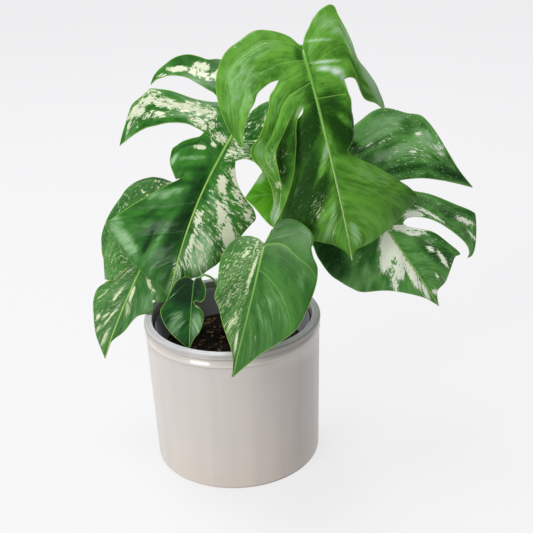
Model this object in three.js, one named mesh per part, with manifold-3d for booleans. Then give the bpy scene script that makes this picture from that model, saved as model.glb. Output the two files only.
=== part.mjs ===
// A potted albo variegated monstera: a glazed cover pot, the plastic growing pot inside it, soil,
// a short stem, and seven leaves on their stalks. Millimetres, +Z up, origin at the centre of the base.
import * as THREE from 'three';
import { mergeVertices } from 'three/addons/utils/BufferGeometryUtils.js';
import Module from 'manifold-3d';

const wasm = await Module();
wasm.setup();

// Driving dimensions of the cover pot.
const POT_HEIGHT = 155;
const LIP_RADIUS = 90;
const LIP_INNER_RADIUS = 81;
const LIP_HEIGHT = 10;
const GROOVE_DEPTH = 3.2;
const BODY_TOP_RADIUS = 87.6;
const BODY_BASE_RADIUS = 85;
const POT_FLOOR = 7;
const POT_SIDES = 48;

// The growing pot and the soil that it holds.
const GAP = 0.3;
const NURSERY_RIM_Z = 148;
const NURSERY_RIM_RADIUS = 78.5;
const NURSERY_RIM_BAND = 9;
const NURSERY_RIM_STEP = 3;
const NURSERY_BASE_RADIUS = 62;
const NURSERY_WALL = 1.4;
const NURSERY_FLOOR = 1.8;
const NURSERY_SIDES = 40;
const DRAIN_HOLES = 6;
const DRAIN_HOLE_RADIUS = 5;
const DRAIN_RING_RADIUS = 42;
const DRAIN_SIDES = 10;
const SOIL_TOP_Z = 122;
const SOIL_RELIEF = 2.2;
const SOIL_EDGE_DIP = 3;
const SOIL_SIDES = 36;
const SOIL_RINGS = 9;

// The stem stands in a plain hole in the soil.
const STEM_BASE = [4, 12, 96];
const STEM_TOP = [9, 17, 168];
const STEM_RADIUS = 11;
const STEM_SIDES = 10;
const STEM_STEPS = 16;

// Leaves.
const BLADE_THICKNESS = 1;
const MIDRIB_HALF_GAP = 0.3;
const KNEE_LENGTH = 9;
const PETIOLE_SIDES = 7;
const PETIOLE_STEPS = 10;
const RIB_SIDES = 6;
const RIB_STEPS = 11;

// Grid of a blade: steps from the midrib to the end of a split, steps along a lobe, and columns across.
const INNER_STEPS = 3;
const OUTER_STEPS = 7;
const LOBE_COLUMNS = 4;
const END_COLUMNS = INNER_STEPS;

const COLOURS = {
  ceramic: 0xb9b4ad,
  plastic: 0x5f5c69,
  soil: 0x2e2219,
  stem: 0x6c7a45,
  petiole: 0x5f8f3a,
  leafBright: 0x559a33,
  leafDark: 0x2f6b33,
};

// Surface formulas and closed solids.

const vec = (a) => new THREE.Vector3(a[0], a[1], a[2]);

function closedGeometry(geometry) {
  const bare = geometry.index ? geometry.toNonIndexed() : geometry;
  bare.deleteAttribute('normal');
  bare.deleteAttribute('uv');
  const merged = mergeVertices(bare, 1e-3);
  const index = [];
  for (let i = 0; i < merged.index.count; i += 3) {
    const [a, b, c] = [0, 1, 2].map((k) => merged.index.getX(i + k));
    if (a !== b && b !== c && c !== a) index.push(a, b, c);
  }
  merged.setIndex(index);
  return signedVolume(merged) < 0 ? flipped(merged) : merged;
}

function signedVolume(geometry) {
  const [a, b, c] = [new THREE.Vector3(), new THREE.Vector3(), new THREE.Vector3()];
  const place = geometry.attributes.position;
  let volume = 0;
  for (let i = 0; i < geometry.index.count; i += 3) {
    [a, b, c].forEach((v, k) => v.fromBufferAttribute(place, geometry.index.getX(i + k)));
    volume += a.dot(b.clone().cross(c)) / 6;
  }
  return volume;
}

function flipped(geometry) {
  const index = Array.from(geometry.index.array);
  for (let i = 0; i < index.length; i += 3) [index[i], index[i + 1]] = [index[i + 1], index[i]];
  geometry.setIndex(index);
  return geometry;
}

function toSolid(geometry) {
  const closed = closedGeometry(geometry);
  const mesh = new wasm.Mesh({
    numProp: 3,
    vertProperties: new Float32Array(closed.attributes.position.array),
    triVerts: new Uint32Array(closed.index.array),
  });
  return new wasm.Manifold(mesh);
}

function toGeometry(solid) {
  const mesh = solid.getMesh();
  const geometry = new THREE.BufferGeometry();
  geometry.setAttribute('position', new THREE.BufferAttribute(mesh.vertProperties, 3));
  geometry.setIndex(new THREE.BufferAttribute(mesh.triVerts, 1));
  return geometry;
}

// A join can leave crumbs or pinched pockets of no size: the largest body is kept, as it is once merged.
function largestBody(solid) {
  const merged = toSolid(toGeometry(solid));
  return merged.decompose().sort((a, b) => b.volume() - a.volume())[0];
}

// A lathe profile is a list of [radius, height] pairs that starts and ends on the axis.
function turned(profile, sides) {
  const lathe = new THREE.LatheGeometry(profile.map(([r, z]) => new THREE.Vector2(r, z)), sides);
  return closedGeometry(lathe.rotateX(Math.PI / 2));
}

// A round limb along a curve: a cylinder whose rings are moved to the curve, with a radius at each ring.
function limb(curve, radiusAt, sides, steps) {
  const geometry = new THREE.CylinderGeometry(1, 1, 1, sides, steps);
  const frames = curve.computeFrenetFrames(steps, false);
  const place = geometry.attributes.position;
  for (let i = 0; i < place.count; i += 1) {
    const ring = Math.round((place.getY(i) + 0.5) * steps);
    const along = ring / steps;
    const radius = radiusAt(along);
    const point = curve.getPointAt(along);
    point.addScaledVector(frames.normals[ring], place.getX(i) * radius);
    point.addScaledVector(frames.binormals[ring], -place.getZ(i) * radius);
    place.setXYZ(i, point.x, point.y, point.z);
  }
  return closedGeometry(geometry);
}

// Cover pot, growing pot and soil.

function coverPot() {
  const lipBottom = POT_HEIGHT - LIP_HEIGHT;
  const groove = LIP_RADIUS - GROOVE_DEPTH;
  const profile = [
    [0, 0],
    [BODY_BASE_RADIUS - 2.5, 0],
    [BODY_BASE_RADIUS - 0.6, 0.8],
    [BODY_BASE_RADIUS, 2.6],
    [BODY_TOP_RADIUS, lipBottom - 9],
    [BODY_TOP_RADIUS + 0.6, lipBottom - 5],
    [BODY_TOP_RADIUS + 0.2, lipBottom - 1.6],
    [groove, lipBottom],
    [LIP_RADIUS - 0.8, lipBottom + 1.4],
    [LIP_RADIUS, lipBottom + 3.6],
    [LIP_RADIUS, lipBottom + 6.5],
    [LIP_RADIUS - 1.6, POT_HEIGHT - 0.8],
    [LIP_RADIUS - 3.6, POT_HEIGHT],
    [LIP_INNER_RADIUS + 1.6, POT_HEIGHT],
    [LIP_INNER_RADIUS, POT_HEIGHT - 1.4],
    [LIP_INNER_RADIUS - 0.5, lipBottom],
    [LIP_INNER_RADIUS - 1.5, POT_FLOOR + 4],
    [LIP_INNER_RADIUS - 5, POT_FLOOR],
    [0, POT_FLOOR],
  ];
  return turned(profile, POT_SIDES);
}

// The growing pot's outer radius at a height, between its base and its rim.
function nurseryRadius(z) {
  const base = POT_FLOOR + GAP;
  const share = (z - base) / (NURSERY_RIM_Z - base);
  return NURSERY_BASE_RADIUS + (NURSERY_RIM_RADIUS - NURSERY_RIM_STEP - NURSERY_BASE_RADIUS) * share;
}

function nurseryPot() {
  const base = POT_FLOOR + GAP;
  const rimBottom = NURSERY_RIM_Z - NURSERY_RIM_BAND;
  const profile = [
    [0, base],
    [NURSERY_BASE_RADIUS - 1, base],
    [nurseryRadius(base), base + 1],
    [nurseryRadius(rimBottom), rimBottom],
    [NURSERY_RIM_RADIUS, rimBottom + 0.8],
    [NURSERY_RIM_RADIUS, NURSERY_RIM_Z],
    [NURSERY_RIM_RADIUS - NURSERY_WALL, NURSERY_RIM_Z],
    [nurseryRadius(rimBottom + 3) - NURSERY_WALL, rimBottom + 3],
    [nurseryRadius(base) - NURSERY_WALL, base + NURSERY_FLOOR],
    [0, base + NURSERY_FLOOR],
  ];
  let solid = toSolid(turned(profile, NURSERY_SIDES));
  for (let i = 0; i < DRAIN_HOLES; i += 1) {
    const angle = (2 * Math.PI * (i + 0.5)) / DRAIN_HOLES;
    const depth = 6 * NURSERY_FLOOR;
    const drill = new THREE.CylinderGeometry(DRAIN_HOLE_RADIUS, DRAIN_HOLE_RADIUS, depth, DRAIN_SIDES);
    drill.rotateX(Math.PI / 2);
    drill.translate(DRAIN_RING_RADIUS * Math.cos(angle), DRAIN_RING_RADIUS * Math.sin(angle), base);
    solid = solid.subtract(toSolid(drill));
  }
  return toGeometry(solid);
}

// The top of the soil is uneven, and lowest at the pot's wall.
function soilHeight(x, y) {
  const edge = Math.hypot(x, y) / NURSERY_RIM_RADIUS;
  const lumps = Math.sin(x * 0.21 + 1.3) * Math.cos(y * 0.17 - 0.4) + 0.6 * Math.sin(x * 0.39 - y * 0.33);
  return SOIL_TOP_Z + SOIL_RELIEF * lumps * (1 - edge * edge) - SOIL_EDGE_DIP * edge ** 4;
}

function soil() {
  const floor = POT_FLOOR + GAP + NURSERY_FLOOR + GAP;
  const wallRadius = (z) => nurseryRadius(z) - NURSERY_WALL - 2 * GAP;
  const profile = [[0, floor], [wallRadius(floor) - 1, floor]];
  const rim = wallRadius(SOIL_TOP_Z - SOIL_EDGE_DIP - 1);
  for (let i = 0; i <= SOIL_RINGS; i += 1) profile.push([rim * (1 - i / SOIL_RINGS), SOIL_TOP_Z]);
  const geometry = turned(profile, SOIL_SIDES);
  const place = geometry.attributes.position;
  for (let i = 0; i < place.count; i += 1) {
    if (place.getZ(i) > SOIL_TOP_Z - 1) place.setZ(i, soilHeight(place.getX(i), place.getY(i)));
  }
  const hole = limb(stemCurve(), (t) => stemRadius(t) + GAP, STEM_SIDES, STEM_STEPS);
  return toGeometry(toSolid(geometry).subtract(toSolid(hole)));
}

// Stem and leaf stalks.

function stemCurve() {
  const [base, top] = [vec(STEM_BASE), vec(STEM_TOP)];
  const middle = base.clone().lerp(top, 0.55).add(new THREE.Vector3(-2.5, 1.5, 0));
  return new THREE.CatmullRomCurve3([base, middle, top]);
}

// The stem swells at its nodes and rounds off at its growing tip.
function stemRadius(t) {
  const nodes = 0.9 * Math.cos(t * Math.PI * 10) ** 2;
  const tip = t > 0.8 ? Math.sqrt(Math.max(0.04, 1 - ((t - 0.8) / 0.22) ** 2)) : 1;
  return (STEM_RADIUS * (1 - 0.25 * t) + nodes) * tip;
}

function stem() {
  return limb(stemCurve(), stemRadius, STEM_SIDES, STEM_STEPS);
}

// The knee is the swollen bend at the top of a stalk. It belongs to the leaf, and the stalk ends under it.
function kneeStart(leaf) {
  const { junction, normal, along } = bladeFrame(leaf);
  const rise = stalkDirection(leaf);
  return junction.clone().addScaledVector(rise, -KNEE_LENGTH)
    .addScaledVector(normal, -leaf.rib).addScaledVector(along, -0.5 * leaf.rib);
}

function stalkDirection(leaf) {
  const last = vec(leaf.stalk[leaf.stalk.length - 1]);
  return vec(leaf.junction).sub(last).normalize();
}

function petioleCurve(leaf) {
  const rise = stalkDirection(leaf);
  const end = kneeStart(leaf).addScaledVector(rise, -GAP);
  const points = leaf.stalk.map(vec);
  points.push(end.clone().addScaledVector(rise, -7), end);
  return new THREE.CatmullRomCurve3(points, false, 'centripetal');
}

// A stalk is widest at its sheath, and is cut back from the stem that it grows on.
function petiole(leaf) {
  const radiusAt = (t) => leaf.rib + (leaf.sheath - leaf.rib) * Math.max(0, 1 - t * 2.2) ** 1.5;
  const stalk = toSolid(limb(petioleCurve(leaf), radiusAt, PETIOLE_SIDES, PETIOLE_STEPS));
  const clear = toSolid(limb(stemCurve(), (t) => stemRadius(t) + GAP, STEM_SIDES, STEM_STEPS));
  const pieces = stalk.subtract(clear).decompose();
  return toGeometry(pieces.sort((a, b) => b.volume() - a.volume())[0]);
}

// Leaf blades. A blade lies in its own plane: u across, v along the midrib from the stalk to the tip.

function bladeFrame(leaf) {
  const junction = vec(leaf.junction);
  const span = vec(leaf.tip).sub(junction);
  const along = span.clone().normalize();
  const facing = vec(leaf.facing);
  const normal = facing.addScaledVector(along, -facing.dot(along)).normalize();
  const across = along.clone().cross(normal);
  return { junction, along, normal, across, length: span.length() };
}

// Height of the blade over its plane: the midrib's arch, a shallow V, and sides that droop.
function bladeHeight(leaf, length, u, v) {
  const share = v / length;
  const droop = u > 0 ? leaf.droop[0] : leaf.droop[1];
  return leaf.arch * 4 * share * (1 - share) + leaf.fold * Math.abs(u) - droop * (u / 100) ** 2;
}

function bladePoint(leaf, frame, u, v, lift = 0) {
  const height = bladeHeight(leaf, frame.length, u, v) + lift;
  return frame.junction.clone().addScaledVector(frame.across, u)
    .addScaledVector(frame.along, v).addScaledVector(frame.normal, height);
}

// Evenly spaced points along a smooth margin that starts on the midrib's side.
function margin(points, count) {
  const curve = new THREE.SplineCurve(points.map(([u, v]) => new THREE.Vector2(u, v)));
  return curve.getSpacedPoints(count);
}

// One side of a lobe: straight from the midrib to the end of the split, then along the lobe's edge.
function lobeSide(root, edge, inner, outer) {
  const start = new THREE.Vector2(MIDRIB_HALF_GAP, root);
  const split = new THREE.Vector2(edge[0][0], edge[0][1]);
  const line = [];
  for (let i = 0; i < inner; i += 1) line.push(start.clone().lerp(split, i / inner));
  return line.concat(margin(edge, outer));
}

// A lobe runs along its own side vein, between two sides that meet at its tip.
function lobeRows(leaf, frame, side, lobe) {
  const steps = INNER_STEPS + OUTER_STEPS;
  const lower = lobeSide(lobe.root[1], lobe.lower, INNER_STEPS, OUTER_STEPS);
  const start = [MIDRIB_HALF_GAP, lobe.root[0]];
  const upper = lobe.first
    ? margin([start, ...lobe.upper], steps)
    : lobeSide(lobe.root[0], lobe.upper, INNER_STEPS, OUTER_STEPS);
  const rows = [];
  for (let i = 0; i <= steps; i += 1) {
    const free = Math.max(0, (i - INNER_STEPS) / OUTER_STEPS);
    const row = [];
    for (let j = 0; j <= LOBE_COLUMNS; j += 1) {
      const q = (2 * j) / LOBE_COLUMNS - 1;
      const place = upper[i].clone().lerp(lower[i], j / LOBE_COLUMNS);
      const lift = leaf.ripple * q * q * Math.sin(Math.PI * free) - lobe.drop * free ** (lobe.bend ?? 2);
      row.push(bladePoint(leaf, frame, side * place.x, place.y, lift));
    }
    rows.push(row);
  }
  return rows;
}

// The end of a blade, past its last split, has rows from the midrib out to the margin.
function endRows(leaf, frame, side, end) {
  const count = end.rows ?? 10;
  const edge = margin(end.edge, count);
  const rows = [];
  for (let i = 0; i <= count; i += 1) {
    const share = i / count;
    const root = end.root + (frame.length - end.root) * share ** end.lean;
    const start = new THREE.Vector2(MIDRIB_HALF_GAP, root);
    edge[i].x = Math.max(edge[i].x, MIDRIB_HALF_GAP);
    const row = [];
    for (let j = 0; j <= END_COLUMNS; j += 1) {
      const t = j / END_COLUMNS;
      const place = start.clone().lerp(edge[i], t);
      const wave = leaf.ripple * Math.sin(end.waves * Math.PI * share) * t * t;
      const lift = i === 0 ? 0 : wave - end.drop * Math.sin(Math.PI * share) * t * t;
      row.push(bladePoint(leaf, frame, side * place.x, place.y, lift));
    }
    rows.push(row);
  }
  return rows;
}

// Triangles of a grid of rows, wound so that they face the same way on both sides of the leaf.
function gridTriangles(rows, reverse) {
  const triangles = [];
  const add = (a, b, c) => triangles.push(reverse ? [a, c, b] : [a, b, c]);
  for (let i = 0; i + 1 < rows.length; i += 1) {
    for (let j = 0; j + 1 < rows[i].length; j += 1) {
      const [a, b, c, d] = [rows[i][j], rows[i + 1][j], rows[i + 1][j + 1], rows[i][j + 1]];
      add(a, b, c);
      add(a, c, d);
    }
  }
  return triangles;
}

// A thin solid with a copy of the same triangles on its underside, and walls along its open edges.
function thickened(triangles, normal, thickness) {
  const places = [];
  const known = new Map();
  const indexOf = (p) => {
    const key = [p.x, p.y, p.z].map((value) => Math.round(value * 1000)).join();
    if (!known.has(key)) known.set(key, places.push(p) - 1);
    return known.get(key);
  };
  const top = triangles.map((t) => t.map(indexOf)).filter(([a, b, c]) => a !== b && b !== c && c !== a);
  const edges = new Set(top.flatMap(([a, b, c]) => [`${a},${b}`, `${b},${c}`, `${c},${a}`]));
  const under = places.length;
  const index = [];
  top.forEach(([a, b, c]) => index.push(a, b, c, under + a, under + c, under + b));
  edges.forEach((key) => {
    const [a, b] = key.split(',').map(Number);
    if (!edges.has(`${b},${a}`)) index.push(under + a, under + b, b, under + a, b, a);
  });
  const lowered = places.map((p) => p.clone().addScaledVector(normal, -thickness));
  const geometry = new THREE.BufferGeometry().setFromPoints(places.concat(lowered));
  geometry.setIndex(index);
  return geometry;
}

function halfBlade(leaf, frame, side, half) {
  const grids = (half.lobes ?? []).map((lobe) => lobeRows(leaf, frame, side, lobe));
  const triangles = grids.flatMap((rows) => gridTriangles(rows, side < 0));
  triangles.push(...gridTriangles(endRows(leaf, frame, side, half.end), side > 0));
  return toSolid(thickened(triangles, frame.normal, BLADE_THICKNESS));
}

// The midrib stands proud under the blade, thins towards the tip, and carries the knee at its start.
function midrib(leaf, frame) {
  const points = [kneeStart(leaf)];
  points.push(points[0].clone().addScaledVector(stalkDirection(leaf), 0.55 * KNEE_LENGTH));
  for (const share of [0.04, 0.2, 0.4, 0.6, 0.8, 1]) {
    const radius = ribRadius(leaf, share);
    points.push(bladePoint(leaf, frame, 0, share * frame.length, 0.35 - radius));
  }
  const curve = new THREE.CatmullRomCurve3(points, false, 'centripetal');
  return toSolid(limb(curve, (t) => ribRadius(leaf, t), RIB_SIDES, RIB_STEPS));
}

function ribRadius(leaf, share) {
  return Math.max(0.75, leaf.rib * (1 - share) ** 0.8);
}

function blade(leaf) {
  const frame = bladeFrame(leaf);
  const left = halfBlade(leaf, frame, 1, leaf.left);
  const right = halfBlade(leaf, frame, -1, leaf.right);
  return toGeometry(largestBody(midrib(leaf, frame).add(left).add(right)));
}

// The leaves. Outlines are in millimetres from the stalk: [outwards, towards the tip].
const LEAVES = [
  {
    name: 'leaf_1',
    colour: COLOURS.leafBright,
    junction: [79, 40, 414], tip: [118, -45, 228], facing: [0.15, -0.6, 0.8],
    arch: 18, fold: 0.05, droop: [22, 30], ripple: 2, rib: 2.6, sheath: 4.6,
    stalk: [[11, 25, 150], [32, 34, 188], [53, 46, 218], [79, 62, 272], [88, 70, 332], [80, 65, 395]],
    left: {
      lobes: [
        {
          first: true, root: [0, 21], drop: 10,
          upper: [
            [3, -3], [9, -12], [19, -19], [32, -24], [42, -24], [55, -18], [68, -12], [76, -5], [84, 7],
            [88, 16], [91, 30], [91, 47], [88, 65], [84, 75], [78, 84],
          ],
          lower: [[33, 29], [41, 30], [48, 33], [56, 38], [61, 46], [68, 54], [73, 64], [77, 74], [78, 84]],
        },
        {
          root: [21, 50], drop: 2,
          upper: [
            [33, 29], [39, 36], [46, 43], [50, 54], [56, 64], [64, 77], [75, 88], [75, 98], [68, 109],
            [61, 120], [55, 128],
          ],
          lower: [[22, 59], [28, 63], [37, 73], [46, 84], [53, 94], [55, 103], [55, 112], [55, 128]],
        },
        {
          root: [50, 60], drop: 14, bend: 1,
          upper: [
            [22, 59], [29, 67], [37, 76], [46, 84], [55, 92], [63, 102], [64, 116], [62, 129], [63, 141],
            [68, 152], [66, 162],
          ],
          lower: [
            [17, 60], [24, 67], [29, 77], [32, 90], [36, 104], [40, 118], [47, 133], [55, 147],
            [66, 162],
          ],
        },
      ],
      end: {
        root: 60, lean: 1, waves: 2, drop: 26, rows: 12,
        edge: [
          [17, 60], [19, 65], [26, 71], [32, 84], [39, 101], [44, 119], [51, 136], [55, 150], [54, 163],
          [46, 172], [29, 182], [12, 191], [3, 200], [0, 208],
        ],
      },
    },
    right: {
      lobes: [
        {
          first: true, root: [0, 41], drop: 22,
          upper: [
            [6, -10], [13, -18], [20, -26], [30, -34], [38, -38], [45, -40], [49, -37], [49, -27],
            [51, -13], [53, 3], [54, 20], [61, 32], [69, 46], [72, 55], [75, 64], [76, 73],
          ],
          lower: [[30, 40], [36, 39], [41, 41], [43, 47], [44, 54], [47, 61], [53, 64], [62, 66], [76, 73]],
        },
        {
          root: [41, 104], drop: 14,
          upper: [[30, 40], [30, 48], [30, 54], [31, 61], [30, 70], [31, 79], [31, 88]],
          lower: [[15, 109], [21, 101], [31, 88]],
        },
      ],
      end: {
        root: 104, lean: 1, waves: 2, drop: 2,
        edge: [
          [15, 109], [18, 113], [35, 125], [48, 134], [63, 145], [73, 152], [83, 162], [81, 166],
          [64, 175], [45, 187], [22, 196], [6, 200], [0, 208],
        ],
      },
    },
  },
  {
    name: 'leaf_2',
    colour: COLOURS.leafDark,
    junction: [19, 70, 337], tip: [-63, 0, 174], facing: [-0.15, -0.85, 0.5],
    arch: 14, fold: 0.05, droop: [20, 25], ripple: 2, rib: 2.4, sheath: 4.2,
    stalk: [[1, 26, 146], [-5, 44, 192], [-7, 64, 231], [3, 86, 289], [13, 94, 322]],
    left: {
      lobes: [
        {
          first: true, root: [0, 14], drop: 8,
          upper: [
            [7, -9], [13, -28], [26, -45], [41, -51], [54, -50], [64, -46], [75, -46], [86, -45],
            [94, -42], [102, -36], [108, -27], [113, -18], [115, -10], [114, -1],
          ],
          lower: [
            [27, -8], [40, -14], [46, -15], [62, -18], [75, -20], [86, -19], [98, -16], [104, -12],
            [110, -8], [114, -1],
          ],
        },
        {
          root: [14, 41], drop: 12,
          upper: [
            [27, -8], [39, -4], [49, -2], [58, -1], [69, -1], [81, -1], [91, 0], [101, 2], [109, 4],
            [112, 10], [117, 18], [121, 24], [122, 31], [120, 47], [119, 58], [117, 71],
          ],
          lower: [
            [30, 28], [34, 27], [43, 26], [52, 26], [63, 29], [73, 33], [83, 39], [92, 44], [101, 52],
            [109, 61], [117, 71],
          ],
        },
        {
          root: [41, 78], drop: 3,
          upper: [
            [30, 28], [32, 33], [39, 38], [46, 44], [50, 50], [53, 55], [52, 62], [50, 68], [43, 76],
            [37, 82],
          ],
          lower: [[30, 78], [32, 80], [37, 82]],
        },
      ],
      end: {
        root: 78, lean: 1, waves: 2, drop: 3,
        edge: [
          [30, 78], [39, 87], [56, 106], [74, 127], [88, 144], [92, 153], [67, 169], [39, 181],
          [18, 186], [0, 195],
        ],
      },
    },
    right: {
      lobes: [
        {
          first: true, root: [0, 14], drop: 8,
          upper: [[4, -9], [11, -22], [21, -30], [31, -30], [38, -20], [37, -7], [29, 6]],
          lower: [[11, 21], [22, 16], [29, 6]],
        },
        {
          root: [14, 47], drop: 8,
          upper: [[11, 21], [23, 17], [37, 16], [48, 22], [54, 31], [54, 41], [51, 51]],
          lower: [[14, 43], [17, 40], [22, 37], [31, 37], [39, 41], [44, 46], [51, 51]],
        },
      ],
      end: {
        root: 47, lean: 1, waves: 2, drop: 6, rows: 12,
        edge: [
          [14, 43], [17, 51], [22, 60], [29, 68], [38, 75], [47, 80], [53, 88], [51, 95], [48, 103],
          [45, 112], [38, 126], [35, 142], [27, 155], [22, 163], [12, 171], [3, 181], [0, 195],
        ],
      },
    },
  },
  {
    name: 'leaf_3',
    colour: COLOURS.leafDark,
    junction: [-62, 58, 241], tip: [-136, 12, 102], facing: [-0.35, -0.8, 0.5],
    arch: 16, fold: 0.03, droop: [20, 20], ripple: 1.5, rib: 2.2, sheath: 4,
    stalk: [[-6, 17, 138], [-6, 30, 173], [-9, 44, 202], [-29, 62, 222], [-54, 72, 233]],
    left: {
      lobes: [
        {
          first: true, root: [0, 39], drop: 6,
          upper: [
            [5, -12], [6, -24], [16, -31], [28, -31], [35, -30], [44, -27], [52, -21], [58, -14],
            [62, -4], [62, 7], [63, 21], [62, 36], [57, 53], [44, 70], [33, 89],
          ],
          lower: [[17, 82], [23, 86], [33, 89]],
        },
      ],
      end: {
        root: 39, lean: 1, waves: 1, drop: 3,
        edge: [[17, 82], [25, 88], [34, 100], [34, 114], [28, 128], [18, 146], [0, 164]],
      },
    },
    right: {
      lobes: [
        {
          first: true, root: [0, 62], drop: 6,
          upper: [[3, -10], [18, -10], [36, 3], [50, 24], [52, 50], [45, 76]],
          lower: [[30, 83], [40, 81], [45, 76]],
        },
      ],
      end: {
        root: 62, lean: 1, waves: 1, drop: 3,
        edge: [[30, 83], [35, 94], [20, 107], [12, 127], [1, 145], [0, 164]],
      },
    },
  },
  {
    name: 'leaf_4',
    colour: COLOURS.leafDark,
    junction: [109, 45, 308], tip: [207, -15, 161], facing: [0.2, -0.85, 0.5],
    arch: 16, fold: 0.04, droop: [20, 24], ripple: 2, rib: 2.5, sheath: 4.4,
    stalk: [[15, 17, 138], [36, 26, 189], [66, 40, 231], [95, 56, 280], [107, 60, 297]],
    left: {
      lobes: [
        {
          first: true, root: [0, 33], drop: 8,
          upper: [[4, -5], [18, -12], [33, -10], [45, 0], [51, 17]],
          lower: [[50, 33], [53, 26], [51, 17]],
        },
      ],
      end: {
        root: 33, lean: 1, waves: 3, drop: 5, rows: 12,
        edge: [
          [50, 33], [65, 37], [74, 53], [75, 67], [77, 78], [76, 98], [71, 111], [66, 121], [59, 131],
          [42, 141], [28, 152], [9, 171], [0, 187],
        ],
      },
    },
    right: {
      lobes: [
        {
          first: true, root: [0, 50], drop: 10,
          upper: [
            [8, -5], [20, -8], [33, -10], [45, -11], [61, -12], [73, -9], [82, -2], [92, 9], [104, 18],
            [107, 28], [107, 43], [105, 67], [105, 89], [110, 111],
          ],
          lower: [[25, 60], [34, 61], [55, 71], [74, 84], [90, 96], [110, 111]],
        },
        {
          root: [50, 91], drop: 8,
          upper: [
            [25, 60], [40, 77], [54, 90], [73, 113], [87, 129], [88, 136], [74, 157], [64, 166],
            [57, 166],
          ],
          lower: [[14, 97], [20, 96], [30, 102], [41, 113], [51, 129], [61, 150], [62, 161], [57, 166]],
        },
      ],
      end: {
        root: 91, lean: 1, waves: 2, drop: 0,
        edge: [
          [14, 97], [15, 102], [21, 109], [33, 122], [41, 139], [48, 156], [41, 156], [31, 163],
          [19, 171], [7, 174], [0, 187],
        ],
      },
    },
  },
  {
    name: 'leaf_5',
    colour: COLOURS.leafBright,
    junction: [36, -50, 251], tip: [2, -120, 150], facing: [-0.32, -0.62, 0.8],
    arch: 10, fold: 0.08, droop: [14, 14], ripple: 1.2, rib: 2.1, sheath: 4.2,
    stalk: [[7, 6, 136], [19, 2, 167], [29, -14, 202], [37, -30, 230]],
    left: {
      end: {
        root: 0, lean: 1.6, waves: 3, drop: 0, rows: 14,
        edge: [
          [8, -4], [17, -5], [25, -3], [32, 3], [36, 13], [37, 26], [35, 38], [33, 49], [33, 59],
          [26, 69], [20, 81], [13, 93], [7, 103], [2, 116], [0, 128],
        ],
      },
    },
    right: {
      end: {
        root: 0, lean: 1.9, waves: 3, drop: 0, rows: 18,
        edge: [
          [2, -6], [2, -13], [3, -19], [7, -26], [14, -29], [23, -28], [32, -24], [40, -19], [45, -13],
          [47, -7], [47, -2], [52, 7], [59, 17], [62, 34], [60, 57], [55, 75], [43, 89], [23, 106],
          [10, 118], [0, 128],
        ],
      },
    },
  },
  {
    name: 'leaf_6',
    colour: COLOURS.leafDark,
    junction: [-35, -12, 198], tip: [-41, -56, 146], facing: [-0.1, -0.8, 0.6],
    arch: 5, fold: 0.1, droop: [8, 8], ripple: 0.6, rib: 1.2, sheath: 2.6,
    stalk: [[-2, 8, 134], [-11, -2, 166], [-13, -7, 190], [-18, -9, 199], [-25, -10, 203]],
    left: {
      end: {
        root: 0, lean: 1.3, waves: 2, drop: 0, rows: 9,
        edge: [
          [3, -2], [8, -4], [17, 1], [22, 13], [26, 25], [30, 33], [27, 43], [20, 53], [11, 61], [0, 69],
        ],
      },
    },
    right: {
      lobes: [
        {
          first: true, root: [0, 19], drop: 1,
          upper: [[5, -5], [9, 1], [12, 6], [13, 14], [12, 20], [8, 23]],
          lower: [[2, 23], [4, 22], [8, 23]],
        },
      ],
      end: {
        root: 19, lean: 1.2, waves: 1, drop: 0, rows: 7,
        edge: [[2, 23], [5, 28], [9, 30], [12, 34], [13, 41], [10, 52], [4, 60], [0, 69]],
      },
    },
  },
  {
    name: 'leaf_7',
    colour: COLOURS.leafBright,
    junction: [73, 8, 278], tip: [19, -8, 281], facing: [-0.1, -0.85, 0.5],
    arch: 8, fold: 0.08, droop: [10, 10], ripple: 0.8, rib: 1.6, sheath: 3,
    stalk: [[15, 12, 158], [26, 12, 189], [52, 6, 230], [66, 8, 254], [72, 13, 267]],
    left: {
      end: {
        root: 0, lean: 1.4, waves: 2, drop: 0, rows: 10,
        edge: [[9, -4], [20, -2], [29, 8], [32, 23], [22, 38], [14, 45], [8, 50], [0, 57]],
      },
    },
    right: {
      end: {
        root: 0, lean: 1.4, waves: 2, drop: 0, rows: 10,
        edge: [[6, -5], [22, 2], [34, 15], [37, 26], [32, 36], [23, 43], [12, 49], [0, 57]],
      },
    },
  },
];

function piece(name, geometry, color, roughness) {
  const material = new THREE.MeshStandardMaterial({ color, roughness, metalness: 0 });
  const mesh = new THREE.Mesh(geometry, material);
  mesh.name = name;
  return mesh;
}

const plant = new THREE.Group();
plant.add(piece('cover_pot', coverPot(), COLOURS.ceramic, 0.35));
plant.add(piece('nursery_pot', nurseryPot(), COLOURS.plastic, 0.55));
plant.add(piece('soil', soil(), COLOURS.soil, 0.95));
plant.add(piece('stem', stem(), COLOURS.stem, 0.6));
LEAVES.forEach((leaf) => {
  const number = leaf.name.split('_')[1];
  plant.add(piece(leaf.name, blade(leaf), leaf.colour, 0.4));
  plant.add(piece(`petiole_${number}`, petiole(leaf), COLOURS.petiole, 0.45));
});

export default plant;
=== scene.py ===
# %% [markdown]
# # A potted albo monstera
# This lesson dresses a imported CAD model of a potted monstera, step by step. The CAD model gives every
# piece its place and size, and Blender gives it a fine surface and a finish. Sizes in the helpers are in
# millimetres, as on a drawing, and each piece is turned into metres when it is finished.

# %% Load the CAD model as a fixed frame
import math
import random

import bmesh
import bpy
from mathutils import Matrix, Vector, kdtree, noise


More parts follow.
